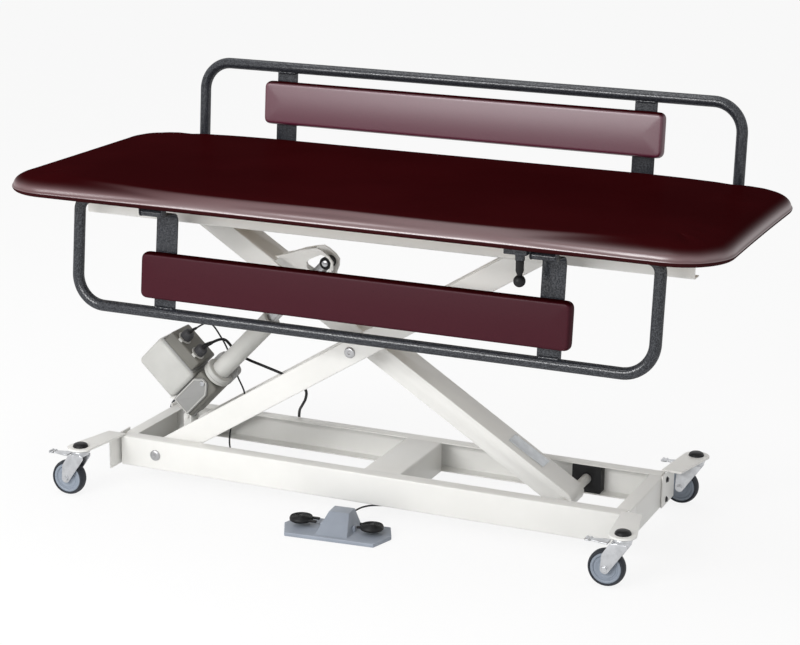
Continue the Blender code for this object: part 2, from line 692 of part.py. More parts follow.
def caster(label, place, home):
    """A swivel caster with its capped stem, wheel and brake pedal, trailing to the left."""
    swivel = pivot("swivel_" + label, place, home)
    head_bottom = FORK_CROWN_TOP - FORK_PLATE
    cap_base = PLATE_TOP + GAP
    profile = [(0.0, cap_base + CAP_HEIGHT), (CAP_RADIUS * 0.5, cap_base + CAP_HEIGHT * 0.9),
               (CAP_RADIUS * 0.85, cap_base + CAP_HEIGHT * 0.6), (CAP_RADIUS, cap_base + CAP_HEIGHT * 0.2),
               (CAP_RADIUS, cap_base), (STEM_RADIUS, cap_base), (STEM_RADIUS, PLATE_UNDERSIDE - GAP),
               (SWIVEL_HEAD_RADIUS * 0.8, PLATE_UNDERSIDE - GAP), (SWIVEL_HEAD_RADIUS, PLATE_UNDERSIDE - 2 * FORK_PLATE),
               (SWIVEL_HEAD_RADIUS, head_bottom), (0.0, head_bottom)]
    fork = turned("caster_fork_" + label, profile, swivel, ZINC)
    plate_inside = HUB_WIDTH / 2 + FORK_GAP
    plate_outside = plate_inside + FORK_PLATE
    crown = box("crown_" + label, (-FORK_BACK, -plate_outside, FORK_CROWN_BOTTOM),
                (FORK_FRONT, plate_outside, FORK_CROWN_TOP), swivel, ZINC)
    axle = (-CASTER_TRAIL, WHEEL_RADIUS)
    cheek = arc(axle, FORK_HALF, math.pi, 2 * math.pi - math.pi / 6, 5)
    cheek += [(FORK_FRONT, FORK_CROWN_BOTTOM + FORK_PLATE), (FORK_FRONT, FORK_CROWN_TOP - FORK_PLATE),
              (-FORK_BACK, FORK_CROWN_TOP - FORK_PLATE), (-CASTER_TRAIL - FORK_HALF, FORK_CROWN_BOTTOM)]
    cheeks = []
    for name, side in (("near", -1), ("far", 1)):
        middle = side * (plate_inside + plate_outside) / 2
        frame = Matrix.Translation((0.0, middle, 0.0)) @ UPRIGHT
        cheeks.append(plate(f"cheek_{name}_{label}", [cheek], FORK_PLATE, frame, swivel, ZINC))
    pin_end = plate_outside + FORK_PLATE
    pin = rod("axle_" + label, (axle[0], -pin_end, axle[1]), (axle[0], pin_end, axle[1]), AXLE_RADIUS, swivel,
              ZINC, 8)
    joined(fork, crown, *cheeks, pin)
    wheel_profile(label, axle, swivel)
    hinge = pivot("brake_" + label, (-PEDAL_HINGE_BACK, 0.0, PEDAL_HINGE_Z), swivel)
    tip = (-(PEDAL_TIP_BACK - PEDAL_HINGE_BACK), PEDAL_TIP_RISE)
    outline = capsule((0.0, 0.0), tip, PEDAL_HALF_THICKNESS, PEDAL_HALF_THICKNESS)
    plate("brake_pedal_" + label, [outline], PEDAL_WIDTH, UPRIGHT, hinge, BLACK_PLASTIC)


def wheel_profile(label, axle, swivel):
    """A wheel with its tyre, a dished face and a hub bored for the axle."""
    hub = pivot("roll_" + label, (axle[0], 0.0, axle[1]), swivel)
    bore = AXLE_RADIUS + RUNNING
    half = WHEEL_WIDTH / 2
    hub_half = HUB_WIDTH / 2
    upper = [(bore, hub_half), (WHEEL_RADIUS * 0.30, hub_half), (WHEEL_RADIUS * 0.34, half * 0.7),
             (WHEEL_RADIUS * 0.68, half * 0.7), (WHEEL_RADIUS * 0.74, half), (WHEEL_RADIUS * 0.90, half),
             (WHEEL_RADIUS, half * 0.6)]
    lower = [(radius, -height) for radius, height in upper[::-1]]
    turned("caster_wheel_" + label, upper + lower, hub, TYRE, axis="Y", ring=True)


def outer_arms(lift):
    """Two flat arms that rise to the right, with the roller shaft at their upper ends."""
    for name, side in (("near", -1), ("far", 1)):
        outline = (arc((0.0, 0.0), ARM_END, math.pi / 2, 3 * math.pi / 2, 8)
                   + arc((ARM_LENGTH, 0.0), ARM_END, -math.pi / 2, math.pi / 2, 8))
        holes = [circle((0.0, 0.0), SHAFT_RADIUS + RUNNING, 16), circle((HALF_ARM, 0.0), SHAFT_RADIUS + RUNNING, 16),
                 circle((ARM_LENGTH, 0.0), ROLLER_SHAFT_RADIUS + RUNNING, 16)]
        middle = side * (ARM_OUTER_FACE - ARM_THICKNESS / 2)
        frame = Matrix.Translation((0.0, middle, 0.0)) @ UPRIGHT
        plate("outer_arm_" + name, [outline] + holes, ARM_THICKNESS, frame, lift, ALMOND)
    roller_inner = FLANGE_TIP + 2 * GAP
    roller_outer = roller_inner + ROLLER_WIDTH
    shaft("roller_shaft", ARM_LENGTH, 0.0, roller_outer + 2 * GAP, ROLLER_SHAFT_RADIUS, lift)
    radius = UPPER_TOP - CHANNEL_WALL - UPPER_PIVOT_Z - GAP
    bore = ROLLER_SHAFT_RADIUS + RUNNING
    axis = pivot("roller_axis", (ARM_LENGTH, 0.0, 0.0), lift)
    for name, side in (("near", -1), ("far", 1)):
        half = ROLLER_WIDTH / 2
        profile = [(bore, half), (radius, half), (radius, -half), (bore, -half)]
        turned("upper_roller_" + name, profile, axis, BLACK_PLASTIC, (0.0, side * (roller_inner + half), 0.0), "Y",
               ring=True)


def bridge_point(along, above):
    """A point on the inner arm, given from its lower pivot, in the arm's own frame about the centre pivot."""
    return (HALF_ARM - along, above)


def bridge(lift):
    """The narrow bridge on top of the beam: two windowed plates, their cross straps and the rod's pin."""
    parts = []
    middle = BRIDGE_HALF_WIDTH - BRIDGE_PLATE / 2
    for name, side, window in (("near", -1, BRIDGE_NEAR_WINDOW), ("far", 1, BRIDGE_FAR_WINDOW)):
        frame = Matrix.Translation((0.0, side * middle, 0.0)) @ UPRIGHT
        loops = [[bridge_point(*point) for point in loop] for loop in (BRIDGE_EDGE, window)]
        parts.append(plate("bridge_plate_" + name, loops, BRIDGE_PLATE, frame, lift, ALMOND))
    for name, first, last in (("right", 0, 3), ("left", 8, 13)):
        route = [Vector(bridge_point(*point)) for point in BRIDGE_EDGE[first:last]]
        inward = (Vector(bridge_point(BRIDGE_PIN_ALONG, 0.0)) - route[1]).normalized() * (BRIDGE_STRAP / 2 + BRIDGE_INSET)
        outline = strip([point + inward for point in route], BRIDGE_STRAP)
        parts.append(plate("bridge_strap_" + name, [outline], 2 * middle, UPRIGHT, lift, ALMOND))
    x, z = bridge_point(BRIDGE_PIN_ALONG, BRIDGE_PIN_ABOVE)
    parts.append(rod("pin_head", (x, middle, z), (x, BRIDGE_HALF_WIDTH + PIN_HEAD_HEIGHT, z), PIN_HEAD_RADIUS, lift,
                     STEEL, 16))
    return parts


def inner_arm(lift):
    """One wide beam that falls to the right, opened for the actuator below a bridge that holds the rod's pin."""
    half = BEAM_HEIGHT / 2
    lower = ([bridge_point(LOWER_BEAM_END, half), bridge_point(LOWER_BEAM_END, -half)]
             + arc(bridge_point(0.0, 0.0), BEAM_END, -math.pi / 2, math.pi / 2, 8))
    beam = plate("inner_arm", [lower], BEAM_WIDTH, UPRIGHT, lift, ALMOND)
    upper = ([bridge_point(UPPER_BEAM_START_BOTTOM, -half), bridge_point(UPPER_BEAM_START_TOP, half)]
             + arc(bridge_point(ARM_LENGTH, 0.0), BEAM_END, math.pi / 2, 3 * math.pi / 2, 8))
    upper_beam = plate("upper_beam", [upper], BEAM_WIDTH, UPRIGHT, lift, ALMOND)
    outer_face = BEAM_WIDTH / 2 + PLATE_PROUD
    cheek = [bridge_point(*point) for point in ((CHEEK_START, -half * 0.9), (CHEEK_END, -half * 0.9),
                                                (CHEEK_END, half * 0.9), (CHEEK_START, half * 0.9))]
    parts = [upper_beam]
    for name, side in (("near", -1), ("far", 1)):
        frame = Matrix.Translation((0.0, side * (outer_face - PLATE_THICKNESS / 2), 0.0)) @ UPRIGHT
        parts.append(plate("beam_cheek_" + name, [cheek], PLATE_THICKNESS, frame, lift, ALMOND))
    joined(beam, *parts, *bridge(lift))
    reach = BEAM_WIDTH / 2 + OVERRUN
    for name, along, radius in (("lower", 0.0, CROSS_TUBE_RADIUS), ("centre", HALF_ARM, SHAFT_RADIUS),
                                ("upper", ARM_LENGTH, SHAFT_RADIUS)):
        x, z = bridge_point(along, 0.0)
        hole = rod("inner_arm_hole_" + name, (x, -reach, z), (x, reach, z), radius + RUNNING, lift, STEEL)
        cut(beam, hole)
    shaft("centre_shaft", 0.0, 0.0, ARM_OUTER_FACE + GAP, SHAFT_RADIUS, lift, HEAD_RADIUS)
    shaft("cross_tube", HALF_ARM, 0.0, WEB_INSIDE - 2 * CHANNEL_WALL, CROSS_TUBE_RADIUS, lift)


def slide_blocks(run):
    """Two blocks on the cross tube that slide in the base rails and stay level."""
    low = BASE_BOTTOM + CHANNEL_WALL + GAP - LOWER_PIVOT_Z
    high = BASE_TOP - CHANNEL_WALL - GAP - LOWER_PIVOT_Z
    for name, side in (("near", -1), ("far", 1)):
        faces = sorted((side * (WEB_INSIDE - GAP), side * (WEB_INSIDE - GAP - SLIDE_BLOCK_WIDTH)))
        outline = rounded_rectangle((-SLIDE_BLOCK_LENGTH / 2, low), (SLIDE_BLOCK_LENGTH / 2, high), SLIDE_BLOCK_EDGE, 2)
        frame = Matrix.Translation((0.0, sum(faces) / 2, 0.0)) @ UPRIGHT
        plate("slide_block_" + name, [outline, circle((0.0, 0.0), CROSS_TUBE_RADIUS + RUNNING)],
              SLIDE_BLOCK_WIDTH, frame, run, BLACK_PLASTIC)


def upper_frame(top):
    """Two C rails, their end members and the shaft of the upper pivot."""
    for name, side in (("near", -1), ("far", 1)):
        rail = channel("upper_rail_" + name, UPPER_LEFT, UPPER_RIGHT, side, UPPER_BOTTOM, UPPER_TOP, top)
        cut(rail, pivot_hole("upper_hole_" + name, PIVOT_X, UPPER_PIVOT_Z, side, SHAFT_RADIUS, top))
    end_channel("upper_end_left", UPPER_LEFT, 1, UPPER_BOTTOM, UPPER_TOP, top)
    end_channel("upper_end_right", UPPER_RIGHT - UPPER_END_SETBACK, -1, UPPER_BOTTOM, UPPER_TOP, top)
    shaft("upper_pivot_shaft", PIVOT_X, UPPER_PIVOT_Z, CHANNEL_HALF_SPREAD + GAP, SHAFT_RADIUS, top, HEAD_RADIUS)


def padded_top(top):
    """The board and the cushion that wraps it."""
    reach = (TOP_LENGTH / 2 - BOARD_MARGIN, TOP_WIDTH / 2 - BOARD_MARGIN)
    outline = rounded_rectangle((-reach[0], -reach[1]), reach, BOARD_CORNER)
    frame = Matrix.Translation((0.0, 0.0, TOP_UNDERSIDE + BOARD_THICKNESS / 2))
    plate("board", [outline], BOARD_THICKNESS, frame, top, BOARD)
    cushion = padded_block("cushion", TOP_LENGTH, TOP_WIDTH, TOP_THICKNESS - TOP_CROWN, TOP_CORNER, TOP_EDGE,
                           TOP_CROWN, TOP_DRAWN_IN, top, VINYL, 6)
    cushion.location = (0.0, 0.0, TOP_UNDERSIDE)
    recess_depth = BOARD_THICKNESS + GAP + OVERRUN
    outline = rounded_rectangle((-reach[0] - GAP, -reach[1] - GAP), (reach[0] + GAP, reach[1] + GAP),
                                BOARD_CORNER + GAP)
    frame = Matrix.Translation((0.0, 0.0, TOP_UNDERSIDE + BOARD_THICKNESS + GAP - recess_depth / 2))
    cut(cushion, plate("board_recess", [outline], recess_depth, frame, top, BOARD))


def hinge_bracket(name, side, hand, span, top):
    """A plate under the board with two ears, the hinge pin of one strap and, to the right, the plunger's boss."""
    left, right = sorted((hand * span[0], hand * span[1]))
    faces = sorted((side * HINGE_PLATE_INNER, side * HINGE_PLATE_OUTER))
    bottom = UPPER_TOP - HINGE_PLATE_THICKNESS
    bracket = box(name, (left, faces[0], bottom), (right, faces[1], UPPER_TOP), top, HAMMERTONE)
    strap = hand * STRAP_X
    pivot_y = side * RAIL_PIVOT_SPREAD
    inside = STRAP_WIDTH / 2 + GAP
    parts = []
    for ear, direction in (("a", -1), ("b", 1)):
        middle = strap + direction * (inside + HINGE_EAR_THICKNESS / 2)
        ear_outline = arc((pivot_y, RAIL_PIVOT_Z), HINGE_EAR_RADIUS, math.pi, 2 * math.pi, 8)
        ear_outline += [(pivot_y + HINGE_EAR_RADIUS, bottom + OVERRUN), (pivot_y - HINGE_EAR_RADIUS, bottom + OVERRUN)]
        frame = Matrix.Translation((middle, 0.0, 0.0)) @ ENDWISE
        parts.append(plate(f"{name}_ear_{ear}", [ear_outline], HINGE_EAR_THICKNESS, frame, top, HAMMERTONE))
    reach = inside + HINGE_EAR_THICKNESS
    parts.append(rod(name + "_pin", (strap - reach, pivot_y, RAIL_PIVOT_Z), (strap + reach, pivot_y, RAIL_PIVOT_Z),
                     HINGE_PIN_RADIUS, top, STEEL, 12))
    if hand > 0:
        parts.append(rod(name + "_boss", (PLUNGER_X, pivot_y, PLUNGER_BOSS_BOTTOM),
                         (PLUNGER_X, pivot_y, bottom + HINGE_PLATE_THICKNESS / 2), PLUNGER_BOSS_RADIUS, top,
                         HAMMERTONE, 16))
    joined(bracket, *parts)
    if hand > 0:
        cut(bracket, rod(name + "_bore", (PLUNGER_X, pivot_y, PLUNGER_BOSS_BOTTOM - OVERRUN),
                         (PLUNGER_X, pivot_y, PLUNGER_BORE_TOP), PLUNGER_STEM_RADIUS + RUNNING, top, STEEL, 12))


def plunger(label, side, top):
    """The sprung lock plunger with its ball knob."""
    home = pivot("plunger_axis_" + label, (PLUNGER_X, side * RAIL_PIVOT_SPREAD, 0.0), top)
    ball = [(PLUNGER_KNOB_RADIUS * math.sin(angle), PLUNGER_KNOB_Z + PLUNGER_KNOB_RADIUS * math.cos(angle))
            for angle in [math.pi * index / 8 for index in range(2, 8)]]
    profile = [(0.0, PLUNGER_STEM_TOP), (PLUNGER_STEM_RADIUS, PLUNGER_STEM_TOP),
               (PLUNGER_STEM_RADIUS, ball[0][1] + PLUNGER_STEM_RADIUS / 2)]
    profile += ball + [(0.0, PLUNGER_KNOB_Z - PLUNGER_KNOB_RADIUS)]
    turned("lock_plunger_" + label, profile, home, BLACK_PLASTIC, steps=12)


def side_rail(label, side, angle, top):
    """A folding rail: bent tube and two hinge straps in one weldment, and its padded bolster."""
    home = pivot("rail_axis_" + label, (0.0, side * RAIL_PIVOT_SPREAD, RAIL_PIVOT_Z), top, (angle, 0.0, 0.0))
    plane = -side * RAIL_OFFSET
    bend = RAIL_BEND
    return_bend = RAIL_TUBE_RADIUS * 2.2
    inner_x = STRAP_X + STRAP_WIDTH / 2 - RAIL_TUBE_RADIUS / 2
    right = [(inner_x, RAIL_RETURN)]
    right += arc((RAIL_HALF_LENGTH - return_bend, RAIL_RETURN + return_bend), return_bend, -math.pi / 2, 0.0, 5)
    right += arc((RAIL_HALF_LENGTH - bend, RAIL_REACH - bend), bend, 0.0, math.pi / 2, 7)
    path = [(x, up, plane) for x, up in right] + [(-x, up, plane) for x, up in right[::-1]]
    frame = tube("side_rail_" + label, path, RAIL_TUBE_RADIUS, home, HAMMERTONE)
    turn = -side
    corner = (STRAP_LEG + STRAP_BEND, turn * (RAIL_OFFSET - STRAP_BEND))
    elbow = [(corner[0] + math.cos(a) * STRAP_BEND, corner[1] + turn * math.sin(a) * STRAP_BEND)
             for a in [math.pi / 2 + math.pi / 2 * index / 5 for index in range(6)]]
    route = [(RAIL_REACH, plane)] + elbow + [(STRAP_LEG, 0.0)]
    parts = []
    holes = []
    for name, hand in (("left", -1), ("right", 1)):
        placed = Matrix.Translation((hand * STRAP_X, 0.0, 0.0)) @ ENDWISE
        parts.append(plate(f"strap_{name}_{label}", [strip(route, STRAP_THICKNESS)], STRAP_WIDTH, placed, home,
                           HAMMERTONE))
        ends = (hand * STRAP_X - STRAP_WIDTH / 2, hand * STRAP_X + STRAP_WIDTH / 2)
        parts.append(rod(f"barrel_{name}_{label}", (ends[0], 0.0, 0.0), (ends[1], 0.0, 0.0), BARREL_RADIUS, home,
                         HAMMERTONE, 16))
        holes.append(rod(f"barrel_bore_{name}_{label}", (ends[0] - OVERRUN, 0.0, 0.0), (ends[1] + OVERRUN, 0.0, 0.0),
                         HINGE_PIN_RADIUS + RUNNING, home, STEEL, 12))
    joined(frame, *parts)
    cut(frame, *holes)
    bolster = padded_block("bolster_" + label, 2 * BOLSTER_HALF_LENGTH, BOLSTER_TO - BOLSTER_FROM,
                           BOLSTER_THICKNESS - BOLSTER_CROWN, BOLSTER_CORNER, BOLSTER_EDGE, BOLSTER_CROWN, 0.0, home,
                           VINYL, 3)
    back = RAIL_OFFSET - STRAP_THICKNESS / 2 - GAP
    bolster.location = (0.0, (BOLSTER_FROM + BOLSTER_TO) / 2, turn * back)
    if turn > 0:
        bolster.rotation_euler = (math.pi, 0.0, 0.0)


def actuator(foot):
    """The motor housing and the gear housing with its outer tube; local X runs along the rod."""
    cap = box("motor_housing", (MOTOR_START, -MOTOR_HALF_WIDTH, MOTOR_BOTTOM),
              (MOTOR_SPLIT, MOTOR_HALF_WIDTH, MOTOR_TOP), foot, LIGHT_CASING, MOTOR_ROUNDING)
    control = box("control_box", (MOTOR_SPLIT - OVERRUN, -MOTOR_HALF_WIDTH * 0.94, MOTOR_CONTROL_BOTTOM),
                  (MOTOR_END, MOTOR_HALF_WIDTH * 0.94, MOTOR_CONTROL_TOP), foot, GREY_CASING, MOTOR_ROUNDING / 3)
    parts = [control]
    for name, height in zip(("upper", "lower"), PLUG_HEIGHTS):
        parts.append(rod("plug_" + name, (MOTOR_END - OVERRUN, PLUG_Y, height),
                         (MOTOR_END + PLUG_LENGTH, PLUG_Y, height), PLUG_RADIUS, foot, BLACK_PLASTIC, 12))
    joined(cap, *parts)
    gear = box("actuator_tube", (GEAR_START, -GEAR_HALF_WIDTH, GEAR_BOTTOM),
               (GEAR_END, GEAR_HALF_WIDTH, MOTOR_BOTTOM - GAP), foot, GREY_CASING, GEAR_ROUNDING)
    lid = box("gear_lid", (GEAR_START + OVERRUN / 2, -GEAR_HALF_WIDTH - LID_THICKNESS, LID_LOW),
              (LID_END, -GEAR_HALF_WIDTH + OVERRUN, LID_HIGH), foot, GREY_CASING)
    flange = box("back_flange", (COLLAR_START - OVERRUN * 2, FLANGE_DEPTH[0], -FLANGE_HALF),
                 (FLANGE_END, FLANGE_DEPTH[1], FLANGE_HALF), foot, GREY_CASING)
    barrel = turned("barrel", [(0.0, TUBE_END), (TUBE_RADIUS, TUBE_END), (TUBE_RADIUS, COLLAR_END),
                               (COLLAR_RADIUS, COLLAR_END), (COLLAR_RADIUS, COLLAR_START),
                               (NECK_RADIUS, COLLAR_START), (NECK_RADIUS, GEAR_END - OVERRUN),
                               (0.0, GEAR_END - OVERRUN)], foot, LIGHT_CASING, axis="X", steps=20)
    tail_half = FOOT_EAR_SPACE / 2 - 2 * GAP
    pin = pin_in_axis_frame()
    tail_outline = (arc(pin, TAIL_RADIUS, 3 * math.pi / 4, 7 * math.pi / 4, 8)
                    + [(GEAR_START + OVERRUN, pin[1]), (GEAR_START + OVERRUN, pin[1] + 2 * TAIL_RADIUS)])
    tail = plate("tail", [tail_outline, circle(pin, FOOT_PIN_RADIUS + RUNNING, 12)], 2 * tail_half, UPRIGHT,
                 foot, GREY_CASING)
    joined(gear, lid, flange, barrel, tail)
    cut(gear, rod("rod_bore", (BORE_START, 0.0, 0.0), (TUBE_END + OVERRUN, 0.0, 0.0), ROD_RADIUS + RUNNING, foot,
                  STEEL))


def pin_in_axis_frame():
    """The foot pin, given along and above the rod's axis."""
    across = FOOT_PIN_X - AXIS_X
    up = FOOT_PIN_Z - AXIS_Z
    return (across * math.cos(ROD_ANGLE) + up * math.sin(ROD_ANGLE),
            up * math.cos(ROD_ANGLE) - across * math.sin(ROD_ANGLE))


def actuator_rod(foot, length):
    """The inner rod with the sleeved eye that turns between the bridge's plates."""
    bar = rod("actuator_rod", (ROD_START, 0.0, 0.0), (length, 0.0, 0.0), ROD_RADIUS, foot, STEEL)
    half = BRIDGE_HALF_WIDTH - BRIDGE_PLATE - GAP
    eye = plate("rod_eye", [circle((length, 0.0), ROD_EYE_RADIUS), circle((length, 0.0), ROD_EYE_BORE, 12)],
                2 * half, UPRIGHT, foot, STEEL)
    joined(bar, eye)
    cut(bar, rod("rod_eye_bore", (length, -half - OVERRUN, 0.0), (length, half + OVERRUN, 0.0), ROD_EYE_BORE, foot,
                 STEEL, 12))


def foot_bracket(home):
    """The bracket in the base's left end: two upright ears round the pivot shaft, with the actuator's foot pin."""
    floor = BASE_BOTTOM + CHANNEL_WALL + GAP
    top = floor + FOOT_PLATE_THICKNESS
    left = BASE_LEFT + CHANNEL_WALL + GAP
    bracket = box("actuator_foot", (left, -FOOT_HALF_WIDTH, floor),
                  (left + FOOT_PLATE_LENGTH, FOOT_HALF_WIDTH, top), home, ALMOND)
    parts = []
    inside = FOOT_EAR_SPACE / 2
    base_z = (floor + top) / 2
    for name, side in (("near", -1), ("far", 1)):
        middle = side * (inside + FOOT_EAR_THICKNESS / 2)
        outline = (arc((FOOT_PIN_X, FOOT_PIN_Z), FOOT_EAR_RADIUS, 0.0, math.pi, 8)
                   + [(FOOT_PIN_X - FOOT_EAR_RADIUS, FOOT_SHOULDER_Z), (PIVOT_X - FOOT_SKIRT_LEFT, FOOT_SKIRT_TOP),
                      (PIVOT_X - FOOT_SKIRT_LEFT, base_z), (PIVOT_X + FOOT_SKIRT_RIGHT, base_z),
                      (PIVOT_X + FOOT_SKIRT_RIGHT, FOOT_SKIRT_TOP), (FOOT_PIN_X + FOOT_EAR_RADIUS, FOOT_SHOULDER_Z)])
        bore = circle((PIVOT_X, LOWER_PIVOT_Z), SHAFT_RADIUS + GAP)
        frame = Matrix.Translation((0.0, middle, 0.0)) @ UPRIGHT
        parts.append(plate("foot_ear_" + name, [outline, bore], FOOT_EAR_THICKNESS, frame, home, ALMOND))
    reach = inside + FOOT_EAR_THICKNESS + HEAD_HEIGHT
    parts.append(rod("foot_pin", (FOOT_PIN_X, -reach, FOOT_PIN_Z), (FOOT_PIN_X, reach, FOOT_PIN_Z), FOOT_PIN_RADIUS,
                     home, STEEL, 12))
    joined(bracket, *parts)


def foot_switch(home):
    """The foot switch on the floor: a base with a raised housing, and two sprung round pedals."""
    place = pivot("foot_switch", (SWITCH_X, SWITCH_Y, 0.0), home, (0.0, 0.0, SWITCH_TURN))
    outline = [(-SWITCH_HALF_FRONT, SWITCH_FRONT), (SWITCH_HALF_FRONT, SWITCH_FRONT), (SWITCH_HALF_MIDDLE, 0.0),
               (SWITCH_HALF_BACK, SWITCH_BACK), (-SWITCH_HALF_BACK, SWITCH_BACK), (-SWITCH_HALF_MIDDLE, 0.0)]
    thickness = SWITCH_BASE_THICKNESS
    frame = Matrix.Translation((0.0, 0.0, thickness / 2))
    base = plate("foot_switch_base", [outline], thickness, frame, place, SWITCH_GREY)
    shape = bmesh.new()
    bmesh.ops.create_cube(shape, size=1.0)
    for vert in shape.verts:
        upper = vert.co.z > 0
        back = vert.co.y > 0
        half = HOUSING_HALF_TOP if upper else HOUSING_HALF_FOOT
        front_y = HOUSING_FRONT_TOP if upper else SWITCH_FRONT + OVERRUN
        back_y = HOUSING_BACK_TOP if upper else SWITCH_BACK - OVERRUN
        vert.co = (HOUSING_SHIFT + math.copysign(half, vert.co.x), back_y if back else front_y,
                   SWITCH_TOP if upper else thickness / 2)
    housing = from_bmesh("switch_housing", shape, place, SWITCH_GREY)
    joined(base, housing)
    middle = PEDAL_DISC_BOTTOM + PEDAL_DISC_THICKNESS / 2
    under_arm = middle - PEDAL_DISC_THICKNESS / 4 - GAP
    for name, hand, reach in (("left", -1, PEDAL_DISC_X[0]), ("right", 1, PEDAL_DISC_X[1])):
        share = (middle - thickness / 2) / (SWITCH_TOP - thickness / 2)
        wall = HOUSING_HALF_FOOT + (HOUSING_HALF_TOP - HOUSING_HALF_FOOT) * share
        hinge_x = HOUSING_SHIFT + hand * (wall + PEDAL_DISC_THICKNESS)
        axis = pivot("pedal_axis_" + name, (hinge_x, 0.0, middle), place)
        lug_ends = sorted((hinge_x - hand * PEDAL_LUG, hinge_x))
        joined(base, box("pedal_lug_" + name, (lug_ends[0], -PEDAL_LUG, thickness / 2),
                         (lug_ends[1], PEDAL_LUG, under_arm), place, SWITCH_GREY))
        centre = hand * reach - hinge_x
        disc = plate("foot_pedal_" + name, [circle((centre, 0.0), PEDAL_DISC_RADIUS, 20)], PEDAL_DISC_THICKNESS,
                     FLAT, axis, BLACK_PLASTIC)
        ends = sorted((-hand * PEDAL_ARM_HALF_WIDTH / 2, centre))
        arm = box("pedal_arm_" + name, (ends[0], -PEDAL_ARM_HALF_WIDTH, -PEDAL_DISC_THICKNESS / 4),
                  (ends[1], PEDAL_ARM_HALF_WIDTH, PEDAL_DISC_THICKNESS / 4), axis, BLACK_PLASTIC)
        joined(disc, arm)


def least_self_gap(points, diameter, skip):
    """The least clearance of a wound tube to itself, measured between points that are a stretch apart."""
    least = min((a - b).length for index, a in enumerate(points) for b in points[index + skip:])
    return least - diameter


def on_the_floor(points, diameter):
    """The same points, with none closer to the floor than a cord that lies on it."""
    lowest = diameter / 2 + GAP
    return [Vector((point.x, point.y, max(point.z, lowest))) for point in points]


def cords(home, plug_ends):
    """The foot switch's cord and the mains cord, each smooth along its route, with the stored coil and plug."""
    upper_plug, lower_plug = plug_ends
    out = Vector((math.cos(ROD_ANGLE), 0.0, math.sin(ROD_ANGLE)))
    start = upper_plug + out * GAP
    switch_route = [start + out * SWITCH_CORD_DIAMETER * 2, (-0.541, 0.036, 0.392), (-0.512, 0.048, 0.352),
                    (-0.490, 0.050, 0.310), (-0.467, 0.048, 0.256), (-0.447, 0.050, 0.208), (-0.462, 0.062, 0.160),
                    (-0.498, 0.074, 0.110), (-0.509, 0.080, 0.050), (-0.492, 0.082, 0.014),
                    (-0.455, 0.084, 0.0028), (-0.360, 0.090, 0.0026), (-0.250, 0.092, 0.0026),
                    (-0.120, 0.090, 0.0026), (-0.020, 0.060, 0.0026), (0.022, 0.000, 0.0032),
                    (0.016, -0.060, 0.011), (-0.002, -0.125, 0.029), (-0.012, -0.161, 0.035),
                    (-0.017, -0.190, 0.036), SWITCH_ENTRY]
    points, length = smooth_route(switch_route, SWITCH_CORD_DIAMETER * 3.6)
    points = on_the_floor(points, SWITCH_CORD_DIAMETER)
    print("foot switch cord length", round(length, 3))
    tube("foot_switch_cord", [start] + points, SWITCH_CORD_DIAMETER / 2, home, CORD_BLACK, resolution=2)
    start = lower_plug + out * GAP
    coil = coil_points()
    meet = coil[0] - Vector((GAP, 0.0, 0.0))
    lead = meet - Vector((MAINS_DIAMETER, 0.0, 0.0))
    mains_route = [start + out * MAINS_DIAMETER, (-0.503, 0.040, 0.352), (-0.478, 0.052, 0.325),
                   (-0.448, 0.058, 0.303), (-0.392, 0.060, 0.287), (-0.340, 0.062, 0.272), (-0.306, 0.074, 0.250),
                   (-0.292, 0.095, 0.226), (-0.304, 0.118, 0.195), (-0.325, 0.142, 0.168), (-0.350, 0.176, 0.138),
                   (-0.362, 0.198, 0.095), (-0.370, 0.220, 0.048), (-0.366, 0.246, 0.014), (-0.346, 0.276, 0.0048),
                   (-0.312, 0.300, 0.0040), lead]
    points, length = smooth_route(mains_route, MAINS_DIAMETER * 2.6)
    points = on_the_floor(points, MAINS_DIAMETER)
    print("mains cord length to the coil", round(length, 3))
    tube("mains_cord", [start] + points + [meet], MAINS_DIAMETER / 2, home, CORD_BLACK, resolution=2)
    tube("mains_coil", coil, MAINS_DIAMETER / 2, home, CORD_BLACK, resolution=1)
    wound = sum((b - a).length for a, b in zip(coil, coil[1:]))
    print("coil length", round(wound, 3), "least self gap", round(least_self_gap(coil, MAINS_DIAMETER, 8), 5))
    mains_plug(coil[-1], home)


def coil_points():
    """A neat round coil on the floor: its loops spiral in, climb to the second layer and spiral out again."""
    per_turn = 24
    climb = per_turn // 2
    total = COIL_TURNS * per_turn
    layer = (total - climb) // 2
    spread = COIL_PITCH * layer / per_turn
    points = []
    for index in range(total + 1):
        angle = -math.pi / 2 + 2 * math.pi * index / per_turn
        inward = min(index, layer)
        outward = max(index - layer - climb, 0)
        risen = min(max(index - layer, 0), climb)
        radius = COIL_RADIUS + spread / 2 - (inward - outward) * COIL_PITCH / per_turn
        height = MAINS_DIAMETER / 2 + GAP + COIL_RISE * risen / climb
        points.append(Vector((COIL_X + radius * math.cos(angle), COIL_Y + radius * math.sin(angle), height)))
    straight = Vector((MAINS_DIAMETER, 0.0, 0.0))
    tail = Vector((COIL_TAIL, 0.0, 0.0))
    return [points[0] - straight] + points + [points[-1] + tail]


